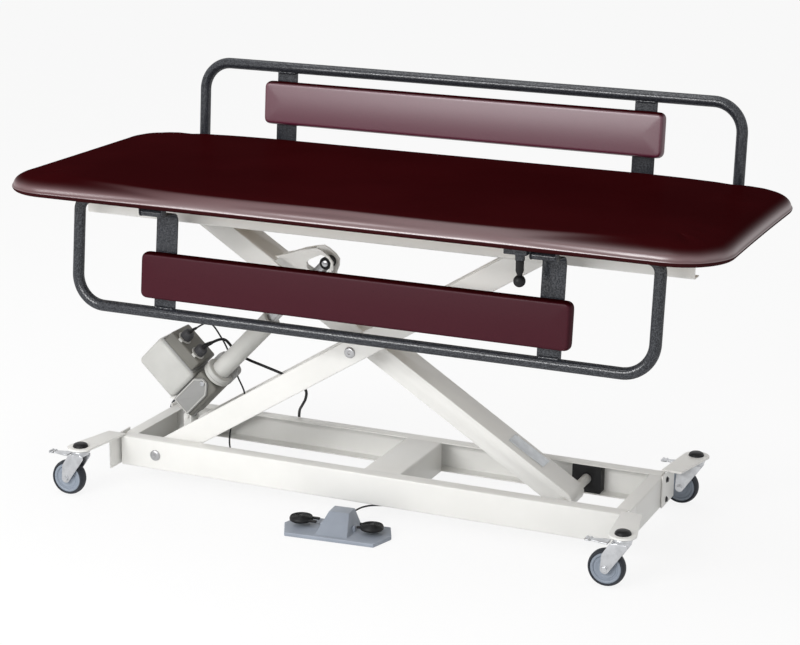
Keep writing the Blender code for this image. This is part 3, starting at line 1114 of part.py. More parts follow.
def mains_plug(end, home):
    """The plug on the cord's end, beside the coil on the floor."""
    place = pivot("plug_place", end + Vector((GAP, 0.0, 0.0)), home)
    low = GAP - end.z
    high = low + PLUG_BODY_HEIGHT
    half = PLUG_BODY_WIDTH / 2
    body = box("mains_plug", (0.0, -half, low), (PLUG_BODY_LENGTH, half, high), place, BLACK_PLASTIC,
               PLUG_BODY_HEIGHT / 6)
    blades = []
    for name, side in (("near", -1), ("far", 1)):
        middle = side * PLUG_BLADE_SPREAD
        blades.append(box("blade_" + name, (PLUG_BODY_LENGTH - OVERRUN, middle - PLUG_BLADE_THICKNESS / 2,
                                            (low + high - PLUG_BLADE_WIDTH) / 2),
                          (PLUG_BODY_LENGTH + PLUG_BLADE_LENGTH, middle + PLUG_BLADE_THICKNESS / 2,
                           (low + high + PLUG_BLADE_WIDTH) / 2), place, STEEL))
    joined(body, *blades)


# Where the rod's pin lies, and from it the actuator's angle and length at rest
PIN_X = RUN_X - BRIDGE_PIN_ALONG * math.cos(ARM_ANGLE) + BRIDGE_PIN_ABOVE * math.sin(ARM_ANGLE)
PIN_Z = LOWER_PIVOT_Z + BRIDGE_PIN_ALONG * math.sin(ARM_ANGLE) + BRIDGE_PIN_ABOVE * math.cos(ARM_ANGLE)
ROD_ANGLE = math.atan2(PIN_Z - AXIS_Z, PIN_X - AXIS_X)
ROD_LENGTH = math.hypot(PIN_Z - AXIS_Z, PIN_X - AXIS_X)
SWITCH_ENTRY = (SWITCH_X + SWITCH_CORD_PLACE[0] * math.cos(SWITCH_TURN) - SWITCH_CORD_PLACE[1] * math.sin(SWITCH_TURN),
                SWITCH_Y + SWITCH_CORD_PLACE[0] * math.sin(SWITCH_TURN) + SWITCH_CORD_PLACE[1] * math.cos(SWITCH_TURN),
                SWITCH_CORD_Z)

table = pivot("treatment_table", (0.0, CENTRE_Y, 0.0))
base_frame(table)
for row, (row_side, row_name) in enumerate(((-1, "near"), (1, "far"))):
    for face_x, direction, end_name in ((BASE_LEFT, -1, "left"), (BASE_RIGHT, 1, "right")):
        corner_name = f"{end_name}_{row_name}"
        corner_bracket("corner_bracket_" + corner_name, face_x, direction, row_side, table)
        caster(corner_name, (face_x + direction * CASTER_OUTBOARD, row_side * CASTER_SPREAD, 0.0), table)
foot_bracket(table)
foot_switch(table)
lift_axis = pivot("lift_axis", (PIVOT_X, 0.0, LOWER_PIVOT_Z), table, (0.0, -ARM_ANGLE, 0.0))
outer_arms(lift_axis)
centre_axis = pivot("centre_axis", CENTRE_PIVOT, table, (0.0, ARM_ANGLE, 0.0))
inner_arm(centre_axis)
slide_blocks(pivot("slide_axis", (RUN_X, 0.0, LOWER_PIVOT_Z), table))
top_axis = pivot("top_axis", (0.0, 0.0, 0.0), table)
upper_frame(top_axis)
padded_top(top_axis)
for rail_name, rail_side in (("near", -1), ("far", 1)):
    hinge_bracket("hinge_left_" + rail_name, rail_side, -1, HINGE_PLATE_LEFT, top_axis)
    hinge_bracket("hinge_right_" + rail_name, rail_side, 1, HINGE_PLATE_RIGHT, top_axis)
    plunger(rail_name, rail_side, top_axis)
side_rail("near", -1, -math.pi / 2 - RAIL_LOWERED_TILT, top_axis)
side_rail("far", 1, math.pi / 2 - RAIL_RAISED_TILT, top_axis)
actuator_axis = pivot("actuator_axis", (FOOT_PIN_X, 0.0, FOOT_PIN_Z), table, (0.0, -ROD_ANGLE, 0.0))
pin_along, pin_above = pin_in_axis_frame()
rod_frame = pivot("rod_axis", (-pin_along, 0.0, -pin_above), actuator_axis)
actuator(rod_frame)
actuator_rod(rod_frame, ROD_LENGTH)
plug_tips = [Vector((AXIS_X, 0.0, AXIS_Z))
             + Matrix.Rotation(-ROD_ANGLE, 3, "Y") @ Vector((MOTOR_END + PLUG_LENGTH, PLUG_Y, height))
             for height in PLUG_HEIGHTS]
cords(table, plug_tips)
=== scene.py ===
# %% [markdown]
# # A powered treatment table
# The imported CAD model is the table's skeleton: every solid is already in its place and knows which joint
# moves it. This lesson dresses it. Padded pieces, tubes, wheels and cords are built again as smooth
# surfaces worked out with numpy, each one rides on the body of the solid that it stands for, and every
# finish is a small tree of shader nodes.
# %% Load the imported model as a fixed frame
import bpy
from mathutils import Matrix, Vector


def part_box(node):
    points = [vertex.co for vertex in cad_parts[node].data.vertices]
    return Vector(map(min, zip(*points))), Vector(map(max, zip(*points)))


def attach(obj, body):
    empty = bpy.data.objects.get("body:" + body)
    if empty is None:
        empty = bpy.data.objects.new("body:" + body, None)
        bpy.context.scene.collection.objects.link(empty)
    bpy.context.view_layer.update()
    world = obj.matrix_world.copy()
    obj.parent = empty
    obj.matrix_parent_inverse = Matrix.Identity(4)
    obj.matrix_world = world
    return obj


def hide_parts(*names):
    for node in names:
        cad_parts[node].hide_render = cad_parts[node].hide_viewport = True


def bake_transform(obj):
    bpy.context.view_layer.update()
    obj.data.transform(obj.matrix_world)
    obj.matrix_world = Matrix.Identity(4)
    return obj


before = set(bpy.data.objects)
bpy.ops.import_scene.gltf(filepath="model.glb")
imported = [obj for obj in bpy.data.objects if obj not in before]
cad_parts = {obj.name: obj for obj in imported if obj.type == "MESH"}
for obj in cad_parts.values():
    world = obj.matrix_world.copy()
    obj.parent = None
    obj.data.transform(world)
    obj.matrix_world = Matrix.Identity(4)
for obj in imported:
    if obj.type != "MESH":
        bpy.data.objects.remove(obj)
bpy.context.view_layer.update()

# %% Tools of the lesson
import math

import bmesh
import bpy
import numpy as np
from mathutils import Matrix, Vector

SCENE = bpy.context.scene

# %% [markdown]
# ## Where things are
# The table's own middle lies a little in front of the origin, because the raised rail adds depth at the
# back.
# %% Named places
CENTRE_Y = -0.0226028
pad_low, pad_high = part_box("cushion")
ARM_LENGTH = 1.2456
LOWER_X, LOWER_Z, UPPER_Z = -0.591, 0.0864, 0.74702
ARM_ANGLE = math.asin((UPPER_Z - LOWER_Z) / ARM_LENGTH)
RUN_X = LOWER_X + ARM_LENGTH * math.cos(ARM_ANGLE)
CENTRE_PIVOT = np.array([(LOWER_X + RUN_X) / 2, CENTRE_Y, (UPPER_Z + LOWER_Z) / 2])
ROD_ORIGIN = np.array([-0.608, CENTRE_Y, 0.1561])
ROD_ANGLE = math.radians(46.3975)
RAIL_SPREAD = 0.3194
RAIL_HEIGHT = 0.7597
print("pad", [round(v, 4) for v in (*pad_low, *pad_high)], "run", round(RUN_X, 5))

# %% [markdown]
# ## The camera
# The photograph was taken from the front right, a little above the pad, with a long lens. The camera's
# place and turn came from fitting sixty of the table's edges. Looking direction, right and up are worked
# out from yaw, pitch and roll, and become the columns of the camera's matrix.
# %% Camera
def photo_camera(place, yaw, pitch, roll, lens):
    """Forward = yaw then pitch; the sideways and upward axes are turned about it by the roll."""
    forward = Vector((-math.sin(yaw) * math.cos(pitch), math.cos(yaw) * math.cos(pitch), -math.sin(pitch)))
    right = forward.cross(Vector((0, 0, 1))).normalized()
    up = right.cross(forward)
    across = math.cos(roll) * right + math.sin(roll) * up
    above = -math.sin(roll) * right + math.cos(roll) * up
    data = bpy.data.cameras.new("photo_camera")
    data.lens = lens
    data.sensor_width = 36.0
    data.clip_end = 60.0
    camera = bpy.data.objects.new("photo_camera", data)
    matrix = Matrix((across, above, -forward)).transposed().to_4x4()
    matrix.translation = place
    camera.matrix_world = matrix
    SCENE.collection.objects.link(camera)
    SCENE.camera = camera


photo_camera((2.0241, -4.6551 + CENTRE_Y, 1.8803), math.radians(23.3656), math.radians(15.5491),
             math.radians(0.6413), 95.95)

# %% [markdown]
# ## Shader maths as Python
# A finish is easier to read as a formula than as a web of boxes. `Wire` stands for one output in a node
# tree, and adding or multiplying wires adds Math nodes. `Paint` owns the tree: its `node` method takes a
# node's type, its settings and the values or wires of its inputs.
# %% Wires and paint
class Wire:
    """One output socket; arithmetic on it adds Math nodes."""

    def __init__(self, paint, socket):
        self.paint, self.socket = paint, socket

    def _math(self, operation, first, second):
        return self.paint.node("ShaderNodeMath", {"operation": operation}, {0: first, 1: second})

    def __add__(self, other):
        return self._math("ADD", self, other)

    def __sub__(self, other):
        return self._math("SUBTRACT", self, other)

    def __rsub__(self, other):
        return self._math("SUBTRACT", other, self)

    def __mul__(self, other):
        return self._math("MULTIPLY", self, other)

    __radd__ = __add__
    __rmul__ = __mul__


class Paint:
    """A material's node tree around one Principled shader."""

    def __init__(self, name, **fixed):
        self.material = bpy.data.materials.new(name)
        self.material.use_nodes = True
        self.tree = self.material.node_tree
        self.shader = self.tree.nodes["Principled BSDF"]
        for socket, value in fixed.items():
            self.shader.inputs[socket.replace("_", " ")].default_value = value
        self.place = self.node("ShaderNodeTexCoord", output="Object")

    def node(self, kind, settings=None, inputs=None, output=0):
        made = self.tree.nodes.new(kind)
        for key, value in (settings or {}).items():
            setattr(made, key, value)
        for key, value in (inputs or {}).items():
            if isinstance(value, Wire):
                self.tree.links.new(value.socket, made.inputs[key])
            else:
                made.inputs[key].default_value = value
        return Wire(self, made.outputs[output])

    def stretched(self, scale):
        return self.node("ShaderNodeMapping", inputs={"Vector": self.place, "Scale": scale})

    def noise(self, scale, detail=2.0, rough=0.5, place=None):
        return self.node("ShaderNodeTexNoise", inputs={"Vector": place or self.place, "Scale": scale,
                                                       "Detail": detail, "Roughness": rough})

    def cells(self, scale):
        return self.node("ShaderNodeTexVoronoi", {"feature": "SMOOTH_F1"},
                         {"Vector": self.place, "Scale": scale})

    def between(self, value, low, high):
        """0 below low, 1 above high, and a smooth step from one to the other."""
        return self.node("ShaderNodeMapRange", {"interpolation_type": "SMOOTHSTEP"},
                         {"Value": value, "From Min": low, "From Max": high})

    def mix(self, share, first, second):
        rgba = [value if isinstance(value, Wire) else (*value, 1.0) for value in (first, second)]
        return self.node("ShaderNodeMix", {"data_type": "RGBA"}, {0: share, 6: rgba[0], 7: rgba[1]}, output=2)

    def bump(self, height, distance, strength):
        inputs = {"Strength": strength, "Distance": distance, "Height": height}
        return self.node("ShaderNodeBump", inputs=inputs)

    def surface(self, **links):
        for socket, wire in links.items():
            self.tree.links.new(wire.socket, self.shader.inputs[socket.replace("_", " ")])
        return self.material


# %% [markdown]
# ## Painted and coated steel
# The frame is powder coated in a warm white. Powder melts into a skin with the faint dimples of an
# orange's peel, so a fine noise drives the bump and a broad one shifts the colour a little. The rails wear
# a hammertone enamel: dark pools in a silvery net, which a Voronoi pattern gives in both colour and relief.
# %% Finishes for the steel frame
def powder_coat():
    paint = Paint("almond_paint", Metallic=0.0)
    cloud = paint.noise(5.0, 4.0, 0.6)
    peel = paint.noise(420.0, 1.0)
    scuffs = paint.between(paint.noise(38.0, 8.0, 0.72), 0.66, 0.80)
    colour = paint.mix(paint.between(cloud, 0.3, 0.7), (0.83, 0.826, 0.800), (0.79, 0.786, 0.760))
    colour = paint.mix(scuffs * 0.35, colour, (0.56, 0.55, 0.51))
    return paint.surface(Base_Color=colour, Roughness=peel * 0.10 + scuffs * 0.18 + 0.33,
                         Normal=paint.bump(peel, 0.00025, 0.35))


def hammertone():
    """A dark enamel under a clear coat of high index, whose glints follow the silvery net."""
    paint = Paint("grey_hammertone", Metallic=0.0)
    paint.shader.inputs["Specular IOR Level"].default_value = 0.10
    paint.shader.inputs["Coat IOR"].default_value = 3.0
    paint.shader.inputs["Coat Roughness"].default_value = 0.12
    pools = paint.cells(400.0)
    fine = paint.noise(900.0, 2.0)
    net = paint.between(pools + fine * 0.22, 0.30, 0.80)
    tone = paint.noise(14.0, 2.0)
    dark = paint.mix(tone, (0.009, 0.010, 0.013), (0.015, 0.016, 0.020))
    return paint.surface(Base_Color=paint.mix(net, dark, (0.044, 0.048, 0.057)), Coat_Weight=net * 0.14 + 0.05,
                         Roughness=0.45 + fine * 0.06, Normal=paint.bump(pools + fine * 0.15, 0.0007, 0.5))


# %% [markdown]
# ## Vinyl
# Upholstery vinyl carries a shallow pebble grain pressed in by a roller, under a thin lacquer. Cells about
# a millimetre across give the pebbles and a coat the lacquer's soft shine, which is masked off where the
# surface faces up, because use dulls the level face and leaves the shoulder polished. Round the shoulder the
# colour is also made lighter and redder, which is a painted highlight. Wear also polishes the grain in
# patches, so the roughness wanders on a broad noise.
# %% Finish for the padded pieces
def vinyl(name, lacquer, index, stretched, tucked):
    """A lacquer over dark skin: dull on the level face, polished round the shoulder, where the colour is also
    lightened towards the given shoulder colour as a painted highlight.

    The share of the lacquer and of the painted highlight that is left where the skin is tucked under is given
    by tucked.
    """
    paint = Paint(name, Metallic=0.0)
    paint.shader.inputs["Specular IOR Level"].default_value = 0.0
    paint.shader.inputs["Coat IOR"].default_value = index
    paint.shader.inputs["Coat Roughness"].default_value = 0.33
    pebble = paint.cells(640.0)
    crease = paint.noise(190.0, 5.0, 0.65)
    broad = paint.noise(3.2, 3.0)
    normal = paint.node("ShaderNodeTexCoord", output="Normal")
    facing = paint.node("ShaderNodeSeparateXYZ", inputs={"Vector": normal}, output="Z")
    level = paint.between(facing, 0.30, 0.965)
    shoulder = (1 - level) * (paint.between(facing, 0.0, 0.22) * (1.0 - tucked) + tucked)
    colour = paint.mix(paint.between(broad, 0.3, 0.7), (0.027, 0.0020, 0.0027), (0.022, 0.0015, 0.0021))
    # Painted highlight: round the shoulder the colour turns lighter and redder, standing in for the lamps'
    # light there; on the bolsters it covers the whole face.
    colour = paint.mix(shoulder, colour, stretched)
    colour = paint.mix(paint.between(pebble, 0.45, 0.8) * 0.30, colour, (0.015, 0.0012, 0.0018))
    return paint.surface(Base_Color=colour, Roughness=0.42 + broad * 0.06 + pebble * 0.06,
                         Coat_Weight=shoulder * lacquer + 0.004,
                         Normal=paint.bump(pebble * 0.7 + crease * 0.5, 0.0004, 0.22))


# %% [markdown]
# ## Bare metal, plastics, rubber and board
# The small parts need their own looks: bright zinc with the cloudy patches that plating leaves, ground
# steel with streaks along its length, moulded plastics with a spark-eroded grain, rubber, and chipboard
# under the pad. Each is one short function with the grain at its real size.
# %% Finishes for the small parts
def metal(name, tint, rough, streak, cloudy):
    paint = Paint(name, Metallic=1.0)
    lines = paint.noise(260.0, 3.0, 0.6, paint.stretched(streak))
    patches = paint.between(paint.noise(55.0, 4.0, 0.6), 0.35, 0.7)
    darker = tuple(channel * cloudy for channel in tint)
    return paint.surface(Base_Color=paint.mix(patches, tint, darker),
                         Roughness=lines * 0.16 + patches * 0.08 + rough,
                         Normal=paint.bump(lines, 0.0002, 0.25))


def moulded(name, tint, rough, grain, depth, shine=0.5):
    paint = Paint(name, Metallic=0.0)
    paint.shader.inputs["Specular IOR Level"].default_value = shine
    sand = paint.noise(grain, 3.0, 0.7)
    broad = paint.noise(9.0, 3.0)
    other = tuple(channel * 0.86 for channel in tint)
    return paint.surface(Base_Color=paint.mix(paint.between(broad, 0.3, 0.7), tint, other),
                         Roughness=sand * 0.14 + broad * 0.06 + rough, Normal=paint.bump(sand, depth, 0.5))


def chipboard():
    paint = Paint("board", Metallic=0.0)
    place = paint.stretched((1.0, 0.45, 1.0))
    chips = paint.node("ShaderNodeTexVoronoi", inputs={"Vector": place, "Scale": 170.0}, output="Color")
    shade = paint.node("ShaderNodeSeparateColor", inputs={"Color": chips})
    colour = paint.mix(shade, (0.30, 0.205, 0.12), (0.43, 0.32, 0.20))
    return paint.surface(Base_Color=colour, Roughness=0.62 + shade * 0.2, Normal=paint.bump(shade, 0.0004, 0.4))


FINISHES = {finish.name.split(".")[0]: finish for finish in (
    powder_coat(), hammertone(), chipboard(),
    # The pad's fourth value is its shoulder colour, a painted highlight.
    vinyl("maroon_vinyl", 1.0, 2.15, (0.082, 0.0140, 0.0190), 0.04),
    metal("zinc_plate", (0.60, 0.61, 0.63), 0.22, (1.0, 1.0, 1.0), 0.82),
    metal("shaft_steel", (0.50, 0.50, 0.51), 0.24, (1.0, 0.05, 1.0), 0.86),
    moulded("black_plastic", (0.011, 0.011, 0.012), 0.34, 900.0, 0.0002, 0.22),
    moulded("wheel_grey", (0.030, 0.034, 0.042), 0.50, 500.0, 0.0003, 0.25),
    moulded("light_casing", (0.60, 0.60, 0.575), 0.40, 1100.0, 0.0002),
    moulded("grey_casing", (0.34, 0.34, 0.335), 0.44, 1100.0, 0.0002),
    moulded("switch_grey", (0.31, 0.345, 0.405), 0.36, 1000.0, 0.0002),
    moulded("cord_black", (0.010, 0.010, 0.011), 0.40, 700.0, 0.0001, 0.25))}
# The two bolsters are one vinyl in two copies: the lowered one gets a darker colour and little lacquer as
# painted shade, the raised one a pinker colour and much lacquer as painted light and reflection.
BOLSTER_VINYL_PAINTED_LIGHT_AND_SHADE = {"near": vinyl("lowered_bolster_vinyl_painted_shade", 0.11, 1.8, (0.052, 0.0085, 0.0150), 1.0),
                 "far": vinyl("raised_bolster_vinyl_painted_light", 0.64, 2.1, (0.105, 0.0130, 0.0340), 1.0)}
WHEEL_CORE = moulded("wheel_core", (0.27, 0.31, 0.37), 0.36, 900.0, 0.0002)
PLUG_GREY = moulded("plug_grey", (0.065, 0.065, 0.07), 0.46, 900.0, 0.0003, 0.3)
# A darker copy of the grey casing, used as painted shade on the control part and the gear housing's body.
CASING_PAINTED_SHADE = moulded("casing_painted_shade", (0.19, 0.185, 0.165), 0.5, 1100.0, 0.0002)
BLACKENED = metal("blackened_steel", (0.055, 0.055, 0.058), 0.34, (1.0, 1.0, 1.0), 0.8)
BARE_PLATE = metal("bare_plate", (0.52, 0.54, 0.56), 0.36, (0.06, 1.0, 1.0), 0.92)
print(len(bpy.data.materials), "materials")

# %% [markdown]
# ## From arrays to solids
# Nearly every piece below is a stack of rings: point j of ring i is one row of an array, neighbours in
# both directions make a quad, and the two last rings are closed by a cap. A lathe, a swept tube and a
# plate with rounded edges differ only in the formula that fills the array.
# %% Shells from rings
def mesh_piece(name, points, faces, sharp=38.0):
    """Puts points and faces into a mesh, merges doubles, turns faces outwards and marks sharp edges."""
    mesh = bpy.data.meshes.new(name)
    mesh.from_pydata(np.asarray(points, float).reshape(-1, 3).tolist(), [], faces)
    shape = bmesh.new()
    shape.from_mesh(mesh)
    bmesh.ops.remove_doubles(shape, verts=shape.verts, dist=2e-6)
    bmesh.ops.recalc_face_normals(shape, faces=shape.faces)
    shape.to_mesh(mesh)
    shape.free()
    mesh.shade_smooth()
    mesh.set_sharp_from_angle(angle=math.radians(sharp))
    piece = bpy.data.objects.new(name, mesh)
    SCENE.collection.objects.link(piece)
    return piece


def ring_faces(count, around, first=0):
    """Quads between neighbouring rings; the last point of a ring joins its first."""
    i, j = np.meshgrid(np.arange(count - 1), np.arange(around), indexing="ij")
    k = (j + 1) % around
    quads = np.stack([i * around + j, i * around + k, (i + 1) * around + k, (i + 1) * around + j], axis=-1)
    return (quads.reshape(-1, 4) + first).tolist()


def stack_faces(count, around, first=0, looped=False):
    """Ring quads with a cap at each end, or with the last ring joined to the first."""
    faces, last = ring_faces(count, around, first), first + (count - 1) * around
    if looped:
        after = [(j + 1) % around for j in range(around)]
        return faces + [[last + j, last + k, first + k, first + j] for j, k in enumerate(after)]
    return faces + [list(range(first, first + around))[::-1], list(range(last, last + around))]


def several(name, stacks, sharp=38.0, looped=False):
    """One piece of several closed stacks of rings; looped stacks join their last ring to their first."""
    points, faces, first = [], [], 0
    for rings in stacks:
        rings = np.asarray(rings, float)
        faces += stack_faces(rings.shape[0], rings.shape[1], first, looped)
        points.append(rings.reshape(-1, 3))
        first += rings.shape[0] * rings.shape[1]
    return mesh_piece(name, np.concatenate(points), faces, sharp)


def fit(piece, body, finish, nodes=(), material=None):
    """Gives a piece its finish, its body and the solids that it stands for."""
    piece.data.materials.clear()
    piece.data.materials.append(material or FINISHES[finish])
    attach(piece, body)
    if nodes:
        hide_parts(*nodes)
    return piece


def box_of(node):
    """A solid's low corner, its high corner and its middle."""
    low, high = np.array(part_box(node), float)
    return low, high, (low + high) / 2


# %% Outlines, lathes, sweeps and plates
FLAT = np.eye(3)
UPRIGHT = np.array([[1.0, 0, 0], [0, 0, -1.0], [0, 1.0, 0]])
ENDWISE = np.array([[0, 0, 1.0], [1.0, 0, 0], [0, 1.0, 0]])


def turned_about(axis, angle):
    """Rotation matrix about X, Y or Z."""
    return np.array(Matrix.Rotation(angle, 3, axis))


def unit(rows):
    rows = np.asarray(rows, float)
    return rows / np.linalg.norm(rows, axis=-1, keepdims=True)


def filleted(corners, radii, steps=4):
    """Each corner of a closed outline becomes an arc that touches both sides.

    Its centre is the corner + the bisector * radius / sin(half the angle); a radius of 0 keeps the corner.
    """
    corners = np.asarray(corners, float)
    radii = np.broadcast_to(np.asarray(radii, float), len(corners))
    out = []
    for index, corner in enumerate(corners):
        if radii[index] <= 0:
            out.append(corner[None])
            continue
        to_last = unit(corners[index - 1] - corner)
        to_next = unit(corners[(index + 1) % len(corners)] - corner)
        half = math.acos(max(-1.0, min(1.0, float(to_last @ to_next)))) / 2
        centre = corner + unit(to_last + to_next) * radii[index] / math.sin(half)
        reach = radii[index] / math.tan(half)
        start, end = corner + to_last * reach - centre, corner + to_next * reach - centre
        sweep = math.pi - 2 * half
        share = np.linspace(0.0, 1.0, steps + 1)[:, None]
        blend = np.sin((1 - share) * sweep) * start + np.sin(share * sweep) * end
        out.append(centre + blend / math.sin(sweep))
    return np.concatenate(out)


def inset(outline, amount):
    """A closed outline with every side moved inwards: each point goes along its mitre."""
    outline = np.asarray(outline, float)
    after = unit(np.roll(outline, -1, 0) - outline)
    before = unit(outline - np.roll(outline, 1, 0))
    area = np.sum(outline[:, 0] * np.roll(outline[:, 1], -1) - outline[:, 1] * np.roll(outline[:, 0], -1))
    hand = 1.0 if area > 0 else -1.0
    first = np.stack([-before[:, 1], before[:, 0]], 1) * hand
    second = np.stack([-after[:, 1], after[:, 0]], 1) * hand
    mitre = (first + second) / (1 + np.sum(first * second, 1))[:, None]
    return outline + mitre * amount


def both_ways(profile):
    """A profile of (radius, height) followed by its mirror image, from its end back to its start."""
    return profile + [(radius, -height) for radius, height in profile[::-1]]


def plate_rings(outline, depth, turn=FLAT, place=(0, 0, 0), edge=0.0008, steps=2):
    """A flat outline given a thickness; its rim follows a quarter circle at both faces."""
    angles = np.linspace(0, math.pi / 2, steps + 1)
    shrink, rise = edge * (1 - np.sin(angles)), edge * (1 - np.cos(angles))
    levels = both_ways([(s, -depth / 2 + r) for s, r in zip(shrink, rise)])
    rings = np.stack([np.column_stack([inset(outline, s), np.full(len(outline), z)]) for s, z in levels])
    return rings @ np.asarray(turn).T + np.asarray(place, float)


def lathe_rings(profile, place=(0, 0, 0), turn=FLAT, steps=40):
    """A profile of (radius, height) turned about its axis, which is Z before the turn."""
    profile = np.asarray(profile, float)
    angles = np.linspace(0, 2 * math.pi, steps, endpoint=False)
    rings = np.stack([np.outer(profile[:, 0], np.cos(angles)), np.outer(profile[:, 0], np.sin(angles)),
                      np.repeat(profile[:, 1:2], steps, 1)], axis=-1)
    return rings @ np.asarray(turn).T + np.asarray(place, float)


ALONG_Y = turned_about("X", math.pi / 2)
ALONG_X = turned_about("Y", math.pi / 2)


def tube_rings(path, radius, sides=20, flatten=1.0):
    """Circles of a radius along a path, each in the plane across it, carried on without twist."""
    path = np.asarray(path, float)
    radius = np.broadcast_to(np.asarray(radius, float), len(path))
    tangent = unit(np.gradient(path, axis=0))
    guide = np.array([0.0, 0.0, 1.0]) if abs(tangent[0, 2]) < 0.9 else np.array([1.0, 0.0, 0.0])
    side = unit(np.cross(guide, tangent[0]))
    sides_along = []
    for direction in tangent:
        side = unit(side - direction * (side @ direction))
        sides_along.append(side)
    across = np.array(sides_along)
    above = np.cross(tangent, across)
    angles = np.linspace(0, 2 * math.pi, sides, endpoint=False)
    return (path[:, None] + radius[:, None, None] * (np.cos(angles)[None, :, None] * across[:, None]
            + flatten * np.sin(angles)[None, :, None] * above[:, None]))


def round_block(one, other, radius, steps=4):
    """A box with ball corners: each point is a corner of the inner box plus the radius along a direction.

    The two corners that are given are opposite ones, in any order.
    """
    low, high = np.minimum(one, other), np.maximum(one, other)
    middle, core = (low + high) / 2, (high - low) / 2 - radius
    quarter = np.linspace(0, math.pi / 2, steps + 1)
    around = np.concatenate([quarter + q * math.pi / 2 for q in range(4)])
    sign_x = np.repeat([1, -1, -1, 1], steps + 1)
    sign_y = np.repeat([1, 1, -1, -1], steps + 1)
    rise = np.concatenate([quarter - math.pi / 2, quarter])
    sign_z = np.repeat([-1, 1], steps + 1)
    return np.stack([
        middle[0] + sign_x * core[0] + radius * np.outer(np.cos(rise), np.cos(around)),
        middle[1] + sign_y * core[1] + radius * np.outer(np.cos(rise), np.sin(around)),
        middle[2] + (sign_z * core[2] + radius * np.sin(rise))[:, None] + 0 * around], axis=-1)


def hexagon_rings(radius, levels, place, turn, spin=0.0):
    """A bolt's head or a nut: levels of (share of the radius, height) about Z before the turn."""
    angles = np.arange(6) * math.pi / 3 + spin
    corners = np.column_stack([np.cos(angles), np.sin(angles)])
    rings = np.stack([np.column_stack([corners * (radius * share), np.full(6, z)]) for share, z in levels])
    return rings @ turn.T + np.asarray(place, float)


def arc(centre, radius, start, end, steps):
    angles = np.linspace(start, end, steps + 1)
    return np.column_stack([centre[0] + radius * np.cos(angles), centre[1] + radius * np.sin(angles)])


def capsule(start, end, start_radius, end_radius, steps=14):
    """Outline of a bar with a round end at each of two points."""
    angle = math.atan2(end[1] - start[1], end[0] - start[0])
    return np.concatenate([arc(start, start_radius, angle + math.pi / 2, angle + 3 * math.pi / 2, steps),
                           arc(end, end_radius, angle - math.pi / 2, angle + math.pi / 2, steps)])


def walked(path):
    """How far along a path each of its points lies."""
    return np.concatenate([[0], np.cumsum(np.linalg.norm(np.diff(path, axis=0), axis=1))])


def at_stops(path, stops):
    """The points of a path at given distances from its start."""
    return np.stack([np.interp(stops, walked(path), path[:, k]) for k in range(3)], axis=1)


def smooth_route(points, spacing):
    """The same even walk along a smooth curve that the CAD cords take."""
    route = np.asarray(points, float)
    ends = np.vstack([2 * route[0] - route[1], route, 2 * route[-1] - route[-2]])
    share = (np.arange(16) / 16)[None, :, None]
    before, start, end, after = (ends[k:len(ends) - 3 + k, None] for k in range(4))
    dense = 0.5 * (2 * start + (end - before) * share + (2 * before - 5 * start + 4 * end - after) * share ** 2
                   + (3 * start - before - 3 * end + after) * share ** 3)
    dense = np.vstack([dense.reshape(-1, 3), route[-1]])
    whole = walked(dense)[-1]
    return at_stops(dense, np.linspace(0, whole, max(2, round(whole / spacing)) + 1))


def length_of(path):
    return float(np.linalg.norm(np.diff(path, axis=0), axis=1).sum())

# %% [markdown]
# ## The two cords
# One cord runs from the actuator's upper plug down to the floor, along it and into the back of the foot
# switch. The mains lead leaves the lower plug, passes round the near side of the arms' far gap and goes
# behind the frame, where what the picture doesn't show of it is wound into a coil with its plug. Both
# are round tubes along the same smooth routes that the CAD solids follow, worked out once more here with
# closer steps.
# %% Cord routes
GAP = 0.0003
ROD_TURN = np.array([[math.cos(ROD_ANGLE), 0, -math.sin(ROD_ANGLE)], [0, 1, 0],
                     [math.sin(ROD_ANGLE), 0, math.cos(ROD_ANGLE)]])
OUT = ROD_TURN[:, 0]
SWITCH_DIAMETER, MAINS_DIAMETER = 0.0044, 0.0074
SWITCH_PLACE, SWITCH_ANGLE = np.array([-0.032, -0.2635 + CENTRE_Y, 0.0]), math.radians(5.0)
SWITCH_TURN = turned_about("Z", SWITCH_ANGLE)
PLUG_END, PLUG_Y, PLUG_HEIGHTS = 0.190, -0.018, (0.123, 0.071)


def on_rod(along, y, above):
    """A point given along the rod, across it and above it, in the world."""
    return ROD_ORIGIN + ROD_TURN @ np.array([along, y, above])


def in_table(points):
    """Points measured from the table's middle, moved to the world."""
    return np.asarray(points, float) + np.array([0.0, CENTRE_Y, 0.0])


def over_floor(path, diameter):
    """The same path, never closer to the floor than a cord that lies on it."""
    path = path.copy()
    path[:, 2] = np.maximum(path[:, 2], diameter / 2 + GAP)
    return path


COIL_CENTRE, COIL_RADIUS = (-0.245, 0.365), 0.0444


def coil_path(turns=6, per_turn=48, pitch=0.0092, rise=0.0083, tail=0.050):
    """A spiral inwards, half a turn that climbs one layer, and a spiral outwards on top."""
    climb, total = per_turn // 2, turns * per_turn
    layer = (total - climb) // 2
    index = np.arange(total + 1)
    angle = 2 * math.pi * index / per_turn - math.pi / 2
    inward, outward = np.minimum(index, layer), np.maximum(index - layer - climb, 0)
    risen = np.clip(index - layer, 0, climb)
    reach = COIL_RADIUS + pitch * layer / per_turn / 2 - (inward - outward) * pitch / per_turn
    wound = np.column_stack([COIL_CENTRE[0] + reach * np.cos(angle), COIL_CENTRE[1] + reach * np.sin(angle),
                             MAINS_DIAMETER / 2 + GAP + rise * risen / climb])
    lead_in = wound[:1] - np.array([[MAINS_DIAMETER, 0.0, 0.0]])
    return in_table(np.vstack([lead_in, wound, wound[-1:] + np.array([[tail, 0.0, 0.0]])]))


